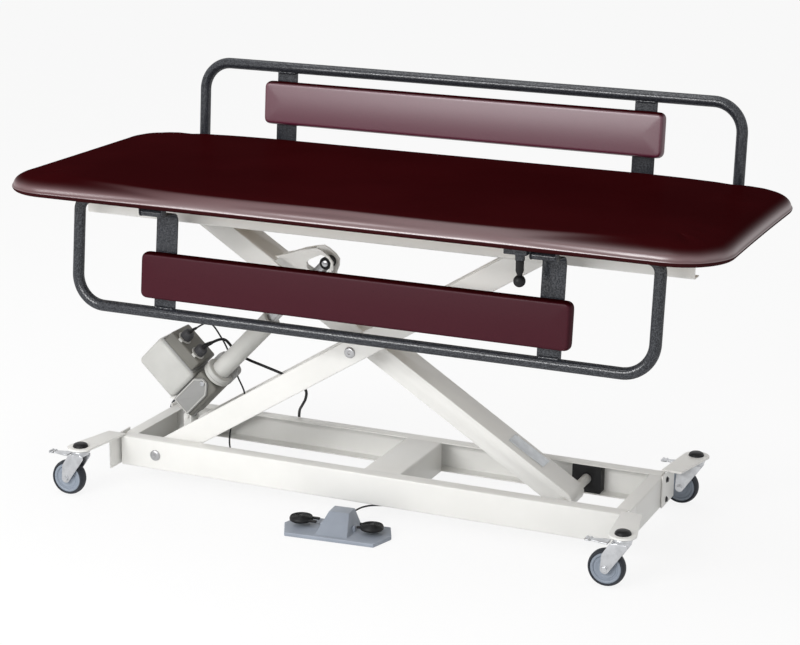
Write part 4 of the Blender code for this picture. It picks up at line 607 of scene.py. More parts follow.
switch_exit = on_rod(PLUG_END + GAP, PLUG_Y, PLUG_HEIGHTS[0])
switch_entry = SWITCH_PLACE + SWITCH_TURN @ np.array([0.018, 0.0490, 0.036])
switch_route = in_table([
    (-0.541, 0.036, 0.392), (-0.512, 0.048, 0.352), (-0.490, 0.050, 0.310), (-0.467, 0.048, 0.256),
    (-0.447, 0.050, 0.208), (-0.462, 0.062, 0.160), (-0.498, 0.074, 0.110), (-0.509, 0.080, 0.050),
    (-0.492, 0.082, 0.014), (-0.455, 0.084, 0.0028), (-0.360, 0.090, 0.0026), (-0.250, 0.092, 0.0026),
    (-0.120, 0.090, 0.0026), (-0.020, 0.060, 0.0026), (0.022, 0.000, 0.0032), (0.016, -0.060, 0.011),
    (-0.002, -0.125, 0.029), (-0.012, -0.161, 0.035), (-0.017, -0.190, 0.036)])
switch_route = np.vstack([switch_exit + OUT * SWITCH_DIAMETER * 2, switch_route, switch_entry])
switch_path = np.vstack([switch_exit, over_floor(smooth_route(switch_route, 0.006), SWITCH_DIAMETER)])

mains_exit = on_rod(PLUG_END + GAP, PLUG_Y, PLUG_HEIGHTS[1])
coil = coil_path()
mains_route = in_table([
    (-0.503, 0.040, 0.352), (-0.478, 0.052, 0.325), (-0.448, 0.058, 0.303), (-0.392, 0.060, 0.287),
    (-0.340, 0.062, 0.272), (-0.306, 0.074, 0.250), (-0.292, 0.095, 0.226), (-0.304, 0.118, 0.195),
    (-0.325, 0.142, 0.168), (-0.350, 0.176, 0.138), (-0.362, 0.198, 0.095), (-0.370, 0.220, 0.048),
    (-0.366, 0.246, 0.014), (-0.346, 0.276, 0.0048), (-0.312, 0.300, 0.0040)])
lead_end = coil[0] - np.array([GAP + MAINS_DIAMETER, 0.0, 0.0])
mains_route = np.vstack([mains_exit + OUT * MAINS_DIAMETER, mains_route, lead_end])
mains_lead_path = over_floor(smooth_route(mains_route, 0.007), MAINS_DIAMETER)
mains_path = np.vstack([mains_exit, mains_lead_path, coil[0] - np.array([GAP, 0, 0]), coil])
print("switch cord", round(length_of(switch_path), 3), "mains cord", round(length_of(mains_path), 3),
      "of which coil", round(length_of(coil), 3))


# %% Cord pieces
def cord_piece(name, path, diameter, nodes, sides):
    piece = several(name, [tube_rings(path, diameter / 2, sides)], sharp=60.0)
    piece.data.materials.append(FINISHES["cord_black"])
    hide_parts(*nodes)
    return piece


def taper(name, path, reach, wide, narrow, body):
    """A strain relief: a sleeve on a cord's first stretch, with rings that get narrower."""
    stops = np.linspace(0.0, reach, 33)
    radius = wide + (narrow - wide) * stops / reach + 0.0005 * (np.arange(33) // 2 % 2)
    return fit(several(name, [tube_rings(at_stops(path, stops), radius, 20)]), body, "black_plastic")


switch_cord = cord_piece("switch_cord", switch_path, SWITCH_DIAMETER, ["foot_switch_cord"], 10)
mains_cord = cord_piece("mains_lead", mains_path, MAINS_DIAMETER, ["mains_cord", "mains_coil"], 12)
switch_relief = taper("switch_cord_relief", switch_path, 0.022, 0.0040, 0.0028, "actuator")
mains_relief = taper("mains_lead_relief", mains_path, 0.030, 0.0062, 0.0042, "actuator")
for cord, route in ((switch_cord, switch_path), (mains_cord, mains_path)):
    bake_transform(cord)


def coil_tie():
    """A strap over the wound turns: an arch from the floor on one side to the floor on the other."""
    around = arc((0.0, 0.0), 1.0, 0.0, math.pi, 20)
    reach, top = 0.0185, 0.0172
    line = np.sign(around) * np.abs(around) ** 0.62 * np.array([reach, top])
    middle = in_table([(COIL_CENTRE[0] - COIL_RADIUS, COIL_CENTRE[1], GAP)])[0]
    outer = np.column_stack([middle[0] - line[:, 0], np.repeat(middle[1], len(line)), middle[2] + line[:, 1]])
    return fit(several("coil_tie", [tube_rings(outer, 0.0042, 10, flatten=0.16)]), "base", "black_plastic")


tie = coil_tie()

# %% [markdown]
# ## The padded top
# The top is foam under vinyl that is drawn over the edges of a board and stapled beneath, so its rim is a
# large soft roll and its face is almost flat. Rings of a rounded rectangle carry the section: each ring is
# the outline moved inwards by an amount, at a height. A short cloth simulation with air pressure then
# swells the top, held at its underside, and one subdivision smooths it. The bolsters have their low crown
# in the formula, because pressure would crease so thin a pad.
# %% Padded shells
def pad_shell(name, half, corner, profile, spacing, drawn, place):
    """Rings by inset: a share of the inner rectangle plus a direction times what is left of the corner."""
    count_x = max(2, round(2 * (half[0] - corner) / spacing))
    count_y = max(2, round(2 * (half[1] - corner) / spacing))
    corner_steps = max(3, round(corner * math.pi / 2 / spacing) + 2)
    share, direction = [], []
    corners = ((1, 1, count_x), (-1, 1, count_y), (-1, -1, count_x), (1, -1, count_y))
    for quarter, (sx, sy, count) in enumerate(corners):
        angles = np.linspace(0, math.pi / 2, corner_steps + 1) + quarter * math.pi / 2
        share.append(np.tile([sx, sy], (len(angles), 1)))
        direction.append(np.column_stack([np.cos(angles), np.sin(angles)]))
        steps = np.linspace(1, -1, count + 1)[1:-1]
        last = angles[-1]
        if quarter % 2 == 0:
            share.append(np.column_stack([steps * sx, np.full(len(steps), sy)]))
        else:
            share.append(np.column_stack([np.full(len(steps), sx), steps * sy]))
        direction.append(np.tile([math.cos(last), math.sin(last)], (len(steps), 1)))
    share, direction = np.concatenate(share).astype(float), np.concatenate(direction)
    pull = drawn * (1 - np.prod(np.where(np.abs(direction) > 0.999, share[:, ::-1], 1.0), axis=1) ** 2)
    rings = []
    for inward, height in profile:
        left = max(corner - inward, 0.0)
        core = np.array(half) - max(corner, inward)
        fade = max(0.0, 1 - inward / 0.04)
        flat = share * core + direction * left - direction * (pull * fade)[:, None]
        rings.append(np.column_stack([flat, np.full(len(flat), height)]))
    points = place(np.array(rings).reshape(-1, 3))
    return mesh_piece(name, points, ring_faces(len(profile), len(share)), sharp=70.0)


def roll(inward, height, start, power, steps):
    """A quarter of a soft ellipse from the widest line up to the face."""
    angle = np.linspace(0, math.pi / 2, steps + 1)[1:]
    across, up = np.cos(angle) ** power, np.sin(angle) ** power
    return [(inward * (1 - c), start + height * s) for c, s in zip(across, up)]


def under_roll(inward, height, steps):
    angle = np.linspace(0, math.pi / 2, steps + 1)
    return [(inward * (1 - s), height * (1 - c)) for s, c in zip(np.sin(angle), np.cos(angle))]


def swell(piece, cap, held, frames=20):
    """Cloth with inner pressure and no gravity, held where the mask says.

    No point moves further than the cap.
    """
    mesh = piece.data
    rest = np.empty(len(mesh.vertices) * 3)
    mesh.vertices.foreach_get("co", rest)
    rest = rest.reshape(-1, 3)
    group = piece.vertex_groups.new(name="held")
    group.add(np.flatnonzero(held(rest)).tolist(), 1.0, "REPLACE")
    cloth = piece.modifiers.new("swell", "CLOTH")
    cloth.settings.vertex_group_mass = "held"
    cloth.settings.use_pressure = True
    cloth.settings.uniform_pressure_force = 4.0
    cloth.settings.effector_weights.gravity = 0.0
    cloth.settings.quality = 4
    cloth.point_cache.frame_start, cloth.point_cache.frame_end = 1, frames
    for step in range(1, frames + 1):
        SCENE.frame_set(step)
    solved = piece.evaluated_get(bpy.context.evaluated_depsgraph_get())
    moved = np.empty_like(rest.ravel())
    solved.data.vertices.foreach_get("co", moved)
    shift = moved.reshape(-1, 3) - rest
    reach = np.linalg.norm(shift, axis=1, keepdims=True)
    piece.modifiers.remove(cloth)
    piece.vertex_groups.clear()
    mesh.vertices.foreach_set("co", (rest + shift * np.minimum(1.0, cap / np.maximum(reach, 1e-9))).ravel())
    mesh.update()
    SCENE.frame_set(1)
    print(piece.name, "swelled by", round(float(np.minimum(reach, cap).max()), 4), "m")


def smoothed(piece, levels=1):
    step = piece.modifiers.new("smooth", "SUBSURF")
    step.levels = step.render_levels = levels
    return piece


# %% The top
TOP_HALF = ((pad_high[0] - pad_low[0]) / 2, (pad_high[1] - pad_low[1]) / 2)
TOP_THICK = pad_high[2] - pad_low[2]
UNDER = 0.0125
TOP_CORNER, TOP_SKIN, TOP_ROLL = 0.128, 0.0015, 0.068
top_profile = [(TOP_HALF[1] - 1e-6, UNDER), (0.28, UNDER), (0.18, UNDER), (0.09, UNDER), (0.045, UNDER),
               (0.0296, UNDER), (0.0292, 0.0008), (0.0270, 0.0)]
top_profile += under_roll(0.0130, 0.0125, 5)
top_profile += roll(TOP_ROLL, 0.0345, 0.0125, 0.84, 15)
top_profile += [(TOP_ROLL + 0.015 * k, 0.0470 + 0.0020 * (1 - (1 - k / 21) ** 2)) for k in range(1, 21)]
top_profile += [(TOP_HALF[1] - 1e-6, TOP_THICK - 0.001)]


def onto_board(points):
    return points + np.array([0.0, CENTRE_Y, pad_low[2]])


pad_top = pad_shell("pad_top", (TOP_HALF[0] - TOP_SKIN, TOP_HALF[1] - TOP_SKIN), TOP_CORNER, top_profile,
                    0.016, 0.002, onto_board)
swell(pad_top, 0.004, lambda p: p[:, 2] < pad_low[2] + 0.0128)
fit(smoothed(pad_top), "table_top", "maroon_vinyl", ["cushion"])
print("pad", len(pad_top.data.polygons), "faces")

# %% [markdown]
# ## Folding rails
# Each rail is a bent tube with two flat straps that hinge under the pad, and a flat bolster. One rail
# hangs down in front, the other stands up behind, so both are built in the same flat frame and turned
# about the hinge line: a quarter turn, and a few degrees more or less.
# %% Rail frame, tubes, straps and bolsters
RAILS = {"near": (-1, -math.pi / 2 - math.radians(5.77)), "far": (1, math.pi / 2 - math.radians(3.90))}
TUBE, RAIL_HALF, RAIL_REACH, RAIL_OFFSET, STRAP_X = 0.01425, 0.744, 0.2548, 0.0754, 0.497
STRAP_WIDE, STRAP_THICK = 0.058, 0.005


def bead(start, end, radius, ripples=0.0045):
    """A fillet weld: a tube whose radius swells with each step of the torch."""
    start, end = np.asarray(start, float), np.asarray(end, float)
    length = float(np.linalg.norm(end - start))
    steps = max(8, int(length / ripples * 6))
    share = np.linspace(0.0, 1.0, steps + 1)
    wave = radius * (0.86 + 0.14 * np.abs(np.cos(share * length / ripples * math.pi)))
    wave[0] = wave[-1] = radius * 0.4
    return tube_rings(start + share[:, None] * (end - start), wave, 10)


def rail_pieces(label):
    """The turn about the hinge line on a rail's side, the way its padded face looks and its tube's plane."""
    side, angle = RAILS[label]
    turn = turned_about("X", angle)
    origin = np.array([0.0, side * RAIL_SPREAD + CENTRE_Y, RAIL_HEIGHT])
    return lambda points: np.asarray(points, float) @ turn.T + origin, -side, -side * RAIL_OFFSET


def strip(route, thickness):
    """A bent strip's outline: its route moved half a thickness to each side."""
    route = np.asarray(route, float)
    along = unit(np.gradient(route, axis=0))
    normal = np.column_stack([along[:, 1], -along[:, 0]]) * thickness / 2
    return np.vstack([route + normal, (route - normal)[::-1]])


def sleeve(place, x, inner=0.0046, outer=0.0090, half=STRAP_WIDE / 2):
    """A strap's rolled end round its hinge pin: a washer's section with soft rims."""
    rim = (outer - inner) * 0.35
    profile = both_ways([(inner, -half), (outer - rim, -half), (outer, -half + rim)])
    rings = lathe_rings(profile, (x, 0.0, 0.0), ALONG_X, 28)
    return place(rings.reshape(-1, 3)).reshape(rings.shape)


def rail_tube(label):
    place, _, plane = rail_pieces(label)
    back_x = RAIL_HALF - TUBE * 2.2
    right = np.vstack([[(0.518875, -0.010), (0.60, -0.010), (0.68, -0.010)],
                       arc((back_x, -0.010 + TUBE * 2.2), TUBE * 2.2, -math.pi / 2, 0.0, 12),
                       [(RAIL_HALF, 0.08), (RAIL_HALF, 0.13)],
                       arc((RAIL_HALF - 0.075, RAIL_REACH - 0.075), 0.075, 0.0, math.pi / 2, 18)])
    middle = np.column_stack([np.linspace(0.6, -0.6, 17), np.full(17, RAIL_REACH)])
    left = right[::-1] * np.array([-1.0, 1.0])
    flat = np.vstack([right, middle, left])
    path = place(np.column_stack([flat, np.full(len(flat), plane)]))
    tube = several(f"rail_tube_{label}", [tube_rings(path, TUBE, 28)])
    return fit(tube, f"rail_{label}", "grey_hammertone", [f"side_rail_{label}"])


def rail_straps(label):
    place, turn, plane = rail_pieces(label)
    elbow = arc((0.0065 + 0.020, turn * (RAIL_OFFSET - 0.020)), 0.020, turn * math.pi, turn * math.pi / 2, 8)
    route = np.vstack([[(0.0065, 0.0)], [(0.0065, turn * 0.03)], elbow, [(0.12, plane)], [(RAIL_REACH, plane)]])
    stacks = []
    for hand in (-1, 1):
        rings = plate_rings(strip(route, STRAP_THICK), STRAP_WIDE, ENDWISE, (hand * STRAP_X, 0, 0), 0.0012)
        stacks.append(place(rings.reshape(-1, 3)).reshape(rings.shape))
        for face in (-1, 1):
            ends = np.array([(hand * STRAP_X + step * STRAP_WIDE * 0.44, RAIL_REACH - TUBE * 0.93,
                              plane + face * (STRAP_THICK / 2 + 0.0022)) for step in (-1, 1)])
            stacks.append(bead(*place(ends), 0.0042, 0.0150))
        stacks.append(sleeve(place, hand * STRAP_X))
    return fit(several(f"rail_straps_{label}", stacks), f"rail_{label}", "grey_hammertone")


def bolster(label):
    place, turn, plane = rail_pieces(label)
    profile = [(0.0575 - 1e-6, 0.0), (0.030, 0.0), (0.008, 0.0)]
    profile += under_roll(0.0040, 0.0085, 4) + roll(0.0085, 0.0200, 0.0085, 0.95, 7)
    profile += [(reach, 0.0285 + 0.0013 * math.sin((reach - 0.0085) / 0.049 * math.pi / 2))
                for reach in (0.012, 0.016, 0.021, 0.027, 0.034, 0.042, 0.050, 0.0575 - 1e-6)]

    def against_straps(points):
        flat = np.column_stack([points[:, 0], points[:, 1] + 0.161, turn * (0.0726 - points[:, 2])])
        return place(flat)

    piece = pad_shell(f"bolster_pad_{label}", (0.5530, 0.0575), 0.016, profile, 0.011, 0.0, against_straps)
    fit(smoothed(piece), f"rail_{label}", "maroon_vinyl", [f"bolster_{label}"], BOLSTER_VINYL_PAINTED_LIGHT_AND_SHADE[label])
    return piece


for label in RAILS:
    rail_tube(label)
    rail_straps(label)
    bolster(label)

# %% [markdown]
# ## Channels, bars and shafts
# The base and the frame under the pad are welded from rolled C sections, and each one's place is its CAD
# solid's box. The section is a strip bent twice with small radii, which a plain box can't show, so its
# outline is filleted and carried along the member. Bars and plates get their rims rounded the same way.
# %% Frame members
WALL = 0.003


def c_section(low, high, opens, wall=WALL, out_radius=0.0042):
    """A C between two corners (a, b); it opens towards + or - a; the bend is rounder outside than inside."""
    closed_at, tip = (low[0], high[0]) if opens > 0 else (high[0], low[0])
    inner = closed_at + opens * wall
    corners = [(closed_at, low[1]), (closed_at, high[1]), (tip, high[1]), (tip, high[1] - wall),
               (inner, high[1] - wall), (inner, low[1] + wall), (tip, low[1] + wall), (tip, low[1])]
    inside = out_radius - wall
    return filleted(corners, [out_radius, out_radius, 0.0006, 0.0006, inside, inside, 0.0006, 0.0006])


def u_section(low, high):
    """An inverted U between two corners (a, b)."""
    corners = [low, (low[0], high[1]), high, (high[0], low[1]), (high[0] - WALL, low[1]),
               (high[0] - WALL, high[1] - WALL), (low[0] + WALL, high[1] - WALL), (low[0] + WALL, low[1])]
    return filleted(corners, [0.0006, 0.0045, 0.0045, 0.0006, 0.0006, 0.0015, 0.0015, 0.0006])


def member(name, node, body, along, opens=0):
    """A member along X (0) or Y (1), as long as its solid; an inverted U where it opens to neither side."""
    low, high, middle = box_of(node)
    corners = (low[1 - along], low[2]), (high[1 - along], high[2])
    section = c_section(*corners, opens) if opens else u_section(*corners)
    place = np.where(np.arange(3) == along, middle, 0.0)
    rings = plate_rings(section, high[along] - low[along], (ENDWISE, UPRIGHT)[along], place, 0.0005)
    return fit(several(name, [rings]), body, "almond_paint", [node])


MEMBERS = (("rail_near", 0, 1), ("rail_far", 0, -1), ("end_left", 1, 1), ("end_right", 1, -1))
for kind, body in (("base", "base"), ("upper", "table_top")):
    for part, along, opens in MEMBERS:
        member(f"{kind}_{part}_channel", f"{kind}_{part}", body, along, opens)
member("middle_member_channel", "base_middle_member", "base", 1)


# %% Arms and shafts
def leaning(angle):
    """Along, across and above for something that rises to the right by an angle."""
    c, s = math.cos(angle), math.sin(angle)
    return np.array([[c, 0, -s], [0, 1, 0], [s, 0, c]])


def outer_arm(label):
    low, high, middle = box_of(f"outer_arm_{label}")
    outline = capsule((0.0, 0.0), (ARM_LENGTH, 0.0), 0.030, 0.030, 18)
    turn = leaning(ARM_ANGLE) @ UPRIGHT
    rings = plate_rings(outline, high[1] - low[1], turn, (LOWER_X, middle[1], LOWER_Z), 0.0035, 4)
    bar = several(f"outer_arm_bar_{label}", [rings], 50.0)
    return fit(bar, "lift_arms", "almond_paint", [f"outer_arm_{label}"])


outer_arm("near")
outer_arm("far")


def headed_shaft(node, body, radius=None, head=0.0, finish="shaft_steel"):
    """A round bar across the table, as thick as its solid if no radius is given.

    A domed head with a hexagon socket's dimple can close each end.
    """
    low, high, middle = box_of(node)
    half, radius = (high[1] - low[1]) / 2, radius or (high[2] - low[2]) / 2
    if head:
        neck = half - 0.005
        side = [(0.0, half - 0.0016), (0.0030, half - 0.0016), (0.0042, half - 0.0002), (head * 0.62, half),
                (head * 0.86, half - 0.0008), (head * 0.97, half - 0.0022), (head, half - 0.0035), (head, neck),
                (radius, neck)]
    else:
        side = [(0.0, half), (radius - 0.0012, half), (radius - 0.0003, half - 0.0004), (radius, half - 0.0012)]
    profile = both_ways([(max(r, 0.00005), z) for r, z in side])
    return fit(several(f"{node}_turned", [lathe_rings(profile, middle, ALONG_Y, 48)]), body, finish, [node])


headed_shaft("lower_pivot_shaft", "base", 0.010, 0.014)
headed_shaft("upper_pivot_shaft", "table_top", 0.010, 0.014)
headed_shaft("centre_shaft", "inner_arm", 0.010, 0.014)
headed_shaft("roller_shaft", "lift_arms")
headed_shaft("cross_tube", "inner_arm", 0.012, finish="almond_paint")


# %% [markdown]
# ## Solids that only need softer rims
# Some CAD solids already have the right shape: the windowed arm, the hinge brackets, the foot bracket, the
# slide shoes, the rollers and the board. Their meshes are copied, doubled points are merged and flat faces
# are joined, and then every sharp edge gets a narrow bevel, because an edge always catches a line of light.
# %% Softened copies
def softened(name, node, body, finish, width, segments=2, angle=35.0):
    """A copy of a CAD solid whose sharp edges are bevelled."""
    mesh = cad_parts[node].data.copy()
    mesh.name = name
    shape = bmesh.new()
    shape.from_mesh(mesh)
    bmesh.ops.remove_doubles(shape, verts=shape.verts, dist=1e-5)
    bmesh.ops.dissolve_limit(shape, angle_limit=math.radians(1.0), verts=shape.verts, edges=shape.edges)
    keen = [edge for edge in shape.edges if edge.is_manifold and edge.calc_face_angle() > math.radians(angle)]
    bmesh.ops.bevel(shape, geom=keen, offset=width, segments=segments, profile=0.5, affect="EDGES",
                    clamp_overlap=True)
    bmesh.ops.remove_doubles(shape, verts=shape.verts, dist=2e-6)
    shape.to_mesh(mesh)
    shape.free()
    if "custom_normal" in mesh.attributes:
        mesh.attributes.remove(mesh.attributes["custom_normal"])
    mesh.shade_smooth()
    mesh.set_sharp_from_angle(angle=math.radians(30.0))
    piece = bpy.data.objects.new(name, mesh)
    SCENE.collection.objects.link(piece)
    return fit(piece, body, finish, [node])


softened("inner_arm_weldment", "inner_arm", "inner_arm", "almond_paint", 0.0011)
softened("actuator_foot_bracket", "actuator_foot", "base", "almond_paint", 0.0009)
for end in ("left", "right"):
    for side in ("near", "far"):
        softened(f"hinge_bracket_{end}_{side}", f"hinge_{end}_{side}", "table_top", "grey_hammertone", 0.0007)
for side in ("near", "far"):
    softened(f"slide_shoe_{side}", f"slide_block_{side}", "slide_blocks", "black_plastic", 0.0010)
    softened(f"roller_{side}", f"upper_roller_{side}", "upper_rollers", "black_plastic", 0.0012)
softened("pad_board", "board", "table_top", "board", 0.0012)

# %% [markdown]
# ## Corner brackets and casters
# A splayed plate at each corner carries a swivel caster under it, and is bolted to the end member with
# two hexagon bolts. The caster has a pressed zinc fork, a grey wheel with a darker tyre, a black cap over
# its stem and a ribbed brake pedal behind. Wheels are turned profiles, because tyre, shoulder, dish and hub
# are all rings about one axle.
# %% Corner brackets
CASTER_SPREAD, NOSE_RADIUS = 0.300, 0.033
PLATE_MIDDLE, PLATE_THICK, STEM_CAP_Z = 0.1279, 0.005, 0.1307
FLANGE_Y, FLANGE_Z, FLANGE_THICK = (0.110, 0.2105), (0.0479, 0.1300), 0.004
BOLT_Y, BOLT_HEIGHTS = 0.145, (0.0606, 0.1121)
CASTERS = {"left_near": (-1, -1), "left_far": (-1, 1), "right_near": (1, -1), "right_far": (1, 1)}
CASTER_X = {-1: -0.7305, 1: 0.6985}


def bolt_rings(centre, axis_turn, radius=0.0062, height=0.0042):
    """A washer and a hexagon head with a chamfered crown; the axis is Z before the turn."""
    washer = lathe_rings([(0.0001, 0.0), (radius * 1.25, 0.0), (radius * 1.3, 0.0003), (radius * 1.25, 0.0008),
                          (0.0001, 0.0008)], centre, axis_turn, 24)
    levels = [(1.0, 0.0006), (1.0, height * 0.82), (0.90, height), (0.02, height)]
    return [washer, hexagon_rings(radius, levels, centre, axis_turn)]


def corner_bracket(label):
    end, side = CASTERS[label]
    node = f"corner_bracket_{label}"
    caster = (CASTER_X[end], CASTER_SPREAD)
    face = caster[0] - end * 0.0335
    inner = np.array([(face - end * 0.015, 0.160), (face + end * 0.035, 0.160)])[::end]
    outline = np.vstack([inner, arc(caster, NOSE_RADIUS, 0.0, math.pi, 20)])
    outline = np.column_stack([outline[:, 0], side * outline[:, 1] + CENTRE_Y])
    stacks = [plate_rings(outline, PLATE_THICK, FLAT, (0, 0, PLATE_MIDDLE), 0.0010, 3)]
    outer = face + end * (GAP + FLANGE_THICK)
    stacks.append(round_block((face + end * GAP, side * FLANGE_Y[0] + CENTRE_Y, FLANGE_Z[0]),
                              (outer, side * FLANGE_Y[1] + CENTRE_Y, FLANGE_Z[1]), 0.0012, 3))
    turn = ALONG_X if end > 0 else turned_about("Y", -math.pi / 2)
    bolts = []
    for height in BOLT_HEIGHTS:
        bolts += bolt_rings((outer, side * BOLT_Y + CENTRE_Y, height), turn)
    fit(several(f"bracket_bolts_{label}", bolts, 30.0), "base", "shaft_steel", material=BLACKENED)
    return fit(several(f"corner_plate_{label}", stacks, 30.0), "base", "almond_paint", [node])


for label in CASTERS:
    corner_bracket(label)


# %% Casters
def caster(label):
    end, side = CASTERS[label]
    x, y = CASTER_X[end], side * CASTER_SPREAD + CENTRE_Y
    body, wheel_body, brake_body = f"caster_{label}", f"wheel_{label}", f"brake_{label}"
    low, high, axle = box_of(f"caster_wheel_{label}")
    radius, half = (high[2] - low[2]) / 2, 0.014
    shoulder = np.array([(0.0372, half * 0.90), (0.0378, half * 0.97), (0.0392, half), (0.0412, half - 0.0004)])
    crown = np.column_stack([radius - 0.0036 * (np.abs(np.linspace(-1, 1, 13)) ** 2.6),
                             -np.linspace(-1, 1, 13) * half * 0.88])
    seat = (0.0366, half * 0.70)
    tyre = np.vstack([[seat], shoulder, crown, (shoulder * (1, -1))[::-1], [(seat[0], -seat[1])]])
    fit(several(f"tyre_{label}", [lathe_rings(tyre, axle, ALONG_Y, 72)], looped=True), wheel_body, "wheel_grey",
        [f"caster_wheel_{label}"])
    face = [(0.0045, 0.0148), (0.0100, 0.0148), (0.0112, 0.0138), (0.0120, 0.0104), (0.0150, 0.0088),
            (0.0205, 0.0086), (0.0225, 0.0098), (0.0238, 0.0098), (0.0248, 0.0088), (0.0290, 0.0088),
            (0.0306, 0.0112), (0.0322, 0.0122), (0.0352, 0.0124), (0.0368, 0.0116)]
    fit(several(f"wheel_core_{label}", [lathe_rings(both_ways(face), axle, ALONG_Y, 64)]), wheel_body,
        "wheel_grey", material=WHEEL_CORE)
    fork(label, body, (x, y), axle)
    cap = [(0.0001, 0.0099), (0.0085, 0.0096), (0.0130, 0.0086), (0.0168, 0.0064), (0.0187, 0.0036),
           (0.0194, 0.0010), (0.0195, 0.0), (0.0001, 0.0)]
    fit(several(f"stem_cap_{label}", [lathe_rings(cap, (x, y, STEM_CAP_Z), FLAT, 48)]), body, "black_plastic")
    brake_pedal(label, brake_body)


def fork(label, body, stem, axle):
    """Two pressed cheeks, a domed crown with its ball race, and a washer and a nut at each end of the axle."""
    x, y = stem
    head = [(0.0001, 0.1251), (0.0150, 0.1251), (0.0190, 0.1240), (0.0218, 0.1215), (0.0232, 0.1190),
            (0.0232, 0.1165), (0.0218, 0.1152), (0.0218, 0.1125), (0.0205, 0.1105), (0.0001, 0.1105)]
    stacks = [lathe_rings(head, (x, y, 0.0), FLAT, 56)]
    cheek = np.vstack([arc((axle[0] - x, axle[2]), 0.0110, math.pi, 2 * math.pi - math.pi / 7, 14),
                       [(0.0160, 0.1010), (0.0170, 0.1100)], [(-0.0250, 0.1100), (-0.0440, 0.0800)]])
    cheek = filleted(cheek, [0.0] * 15 + [0.004, 0.003, 0.006, 0.012])
    washer = [(0.0001, 0.0), (0.0092, 0.0), (0.0095, 0.0004), (0.0090, 0.0010), (0.0001, 0.0010)]
    nut = [(1.0, 0.0008), (1.0, 0.0034), (0.86, 0.0042), (0.03, 0.0042)]
    for side in (-1, 1):
        turn = ALONG_Y if side < 0 else ALONG_Y.T
        seat = np.array([axle[0], y + side * 0.0195, axle[2]])
        stacks.append(plate_rings(cheek, 0.003, UPRIGHT, (x, y + side * 0.0180, 0.0), 0.0007))
        stacks.append(lathe_rings(washer, seat, turn, 28))
        stacks.append(hexagon_rings(0.0068, nut, seat, turn, 0.2))
    top = filleted([(-0.0215, -0.0195), (0.0165, -0.0195), (0.0165, 0.0195), (-0.0215, 0.0195)], 0.009, 6)
    stacks.append(plate_rings(top + np.array([x, y]), 0.0042, FLAT, (0, 0, 0.1098), 0.0018, 4))
    return fit(several(f"fork_{label}", stacks, 34.0), body, "zinc_plate", [f"caster_fork_{label}"])


def brake_pedal(label, body):
    """A pressed lever that narrows behind the crown and ends in a rolled, ribbed toe."""
    low, high, (_, middle, level) = box_of(f"brake_pedal_{label}")
    left, right, half = low[0], high[0], (high[1] - low[1]) / 2
    plan = filleted([(right - 0.001, -half), (right - 0.001, half), (right - 0.016, half * 0.95),
                     (left + 0.020, half * 0.52), (left + 0.013, half * 0.80), (left + 0.004, half * 0.86),
                     (left + 0.004, -half * 0.86), (left + 0.013, -half * 0.80), (left + 0.020, -half * 0.52),
                     (right - 0.016, -half * 0.95)],
                    [0.001, 0.001, 0.006, 0.006, 0.004, 0.003, 0.003, 0.004, 0.006, 0.006])
    stacks = [plate_rings(plan, 0.0034, FLAT, (0, middle, level), 0.0010, 3)]
    for x in (left + 0.0055, left + 0.0150):
        line = np.column_stack([np.full(9, x), middle + np.linspace(-1, 1, 9) * half * 0.80,
                                np.full(9, level + 0.0012)])
        stacks.append(tube_rings(line, [0.0008] + [0.0030] * 7 + [0.0008], 14))
    return fit(several(f"pedal_{label}", stacks), body, "zinc_plate", [f"brake_pedal_{label}"])


for label in CASTERS:
    caster(label)

# %% [markdown]
# ## The actuator
# A linear actuator lifts the table: a light motor cap over a control part, two ribbed plugs on its
# front, a gear housing beneath with a grey screwed lid, and a light tube with a steel rod. The control part
# and the gear housing's body are darker than the lid, which is painted shade. Everything is drawn in the
# rod's own frame, along, across and above it, and turned into place at once.
# %% Actuator housings
def on_axis(rings):
    """From the rod's frame into the world."""
    return rings @ ROD_TURN.T + ROD_ORIGIN


def casing(name, stacks, finish, nodes=(), material=None, body="actuator", looped=False):
    shell = several(name, [on_axis(rings) for rings in stacks], looped=looped)
    return fit(shell, body, finish, nodes, material)


casing("motor_cap", [round_block((0.029, -0.048, 0.0315), (0.1275, 0.048, 0.166), 0.0125, 6)], "light_casing",
       ["motor_housing"])
casing("motor_band", [round_block((0.1270, -0.0465, 0.0400), (0.1320, 0.0465, 0.1600), 0.0024, 3)],
       "grey_casing")
# The control part takes the darker casing as painted shade.
casing("control_box", [round_block((0.1300, -0.0450, 0.0460), (0.164, 0.0450, 0.154), 0.0050, 4)],
       "grey_casing", material=CASING_PAINTED_SHADE)


def ribbed_plug(height):
    """A plug's grip: ridges along its length, then a light collar and a square clip."""
    grip = [(0.0001, 0.0295), (0.0085, 0.0295), (0.0120, 0.0285), (0.0142, 0.0255)]
    grip += [(0.0146 + 0.0009 * (k % 2), 0.0235 - 0.0016 * k) for k in range(11)]
    grip += [(0.0142, 0.0040), (0.0142, 0.0), (0.0001, 0.0)]
    return lathe_rings(grip, (0.1605, PLUG_Y, height), ALONG_X, 40)


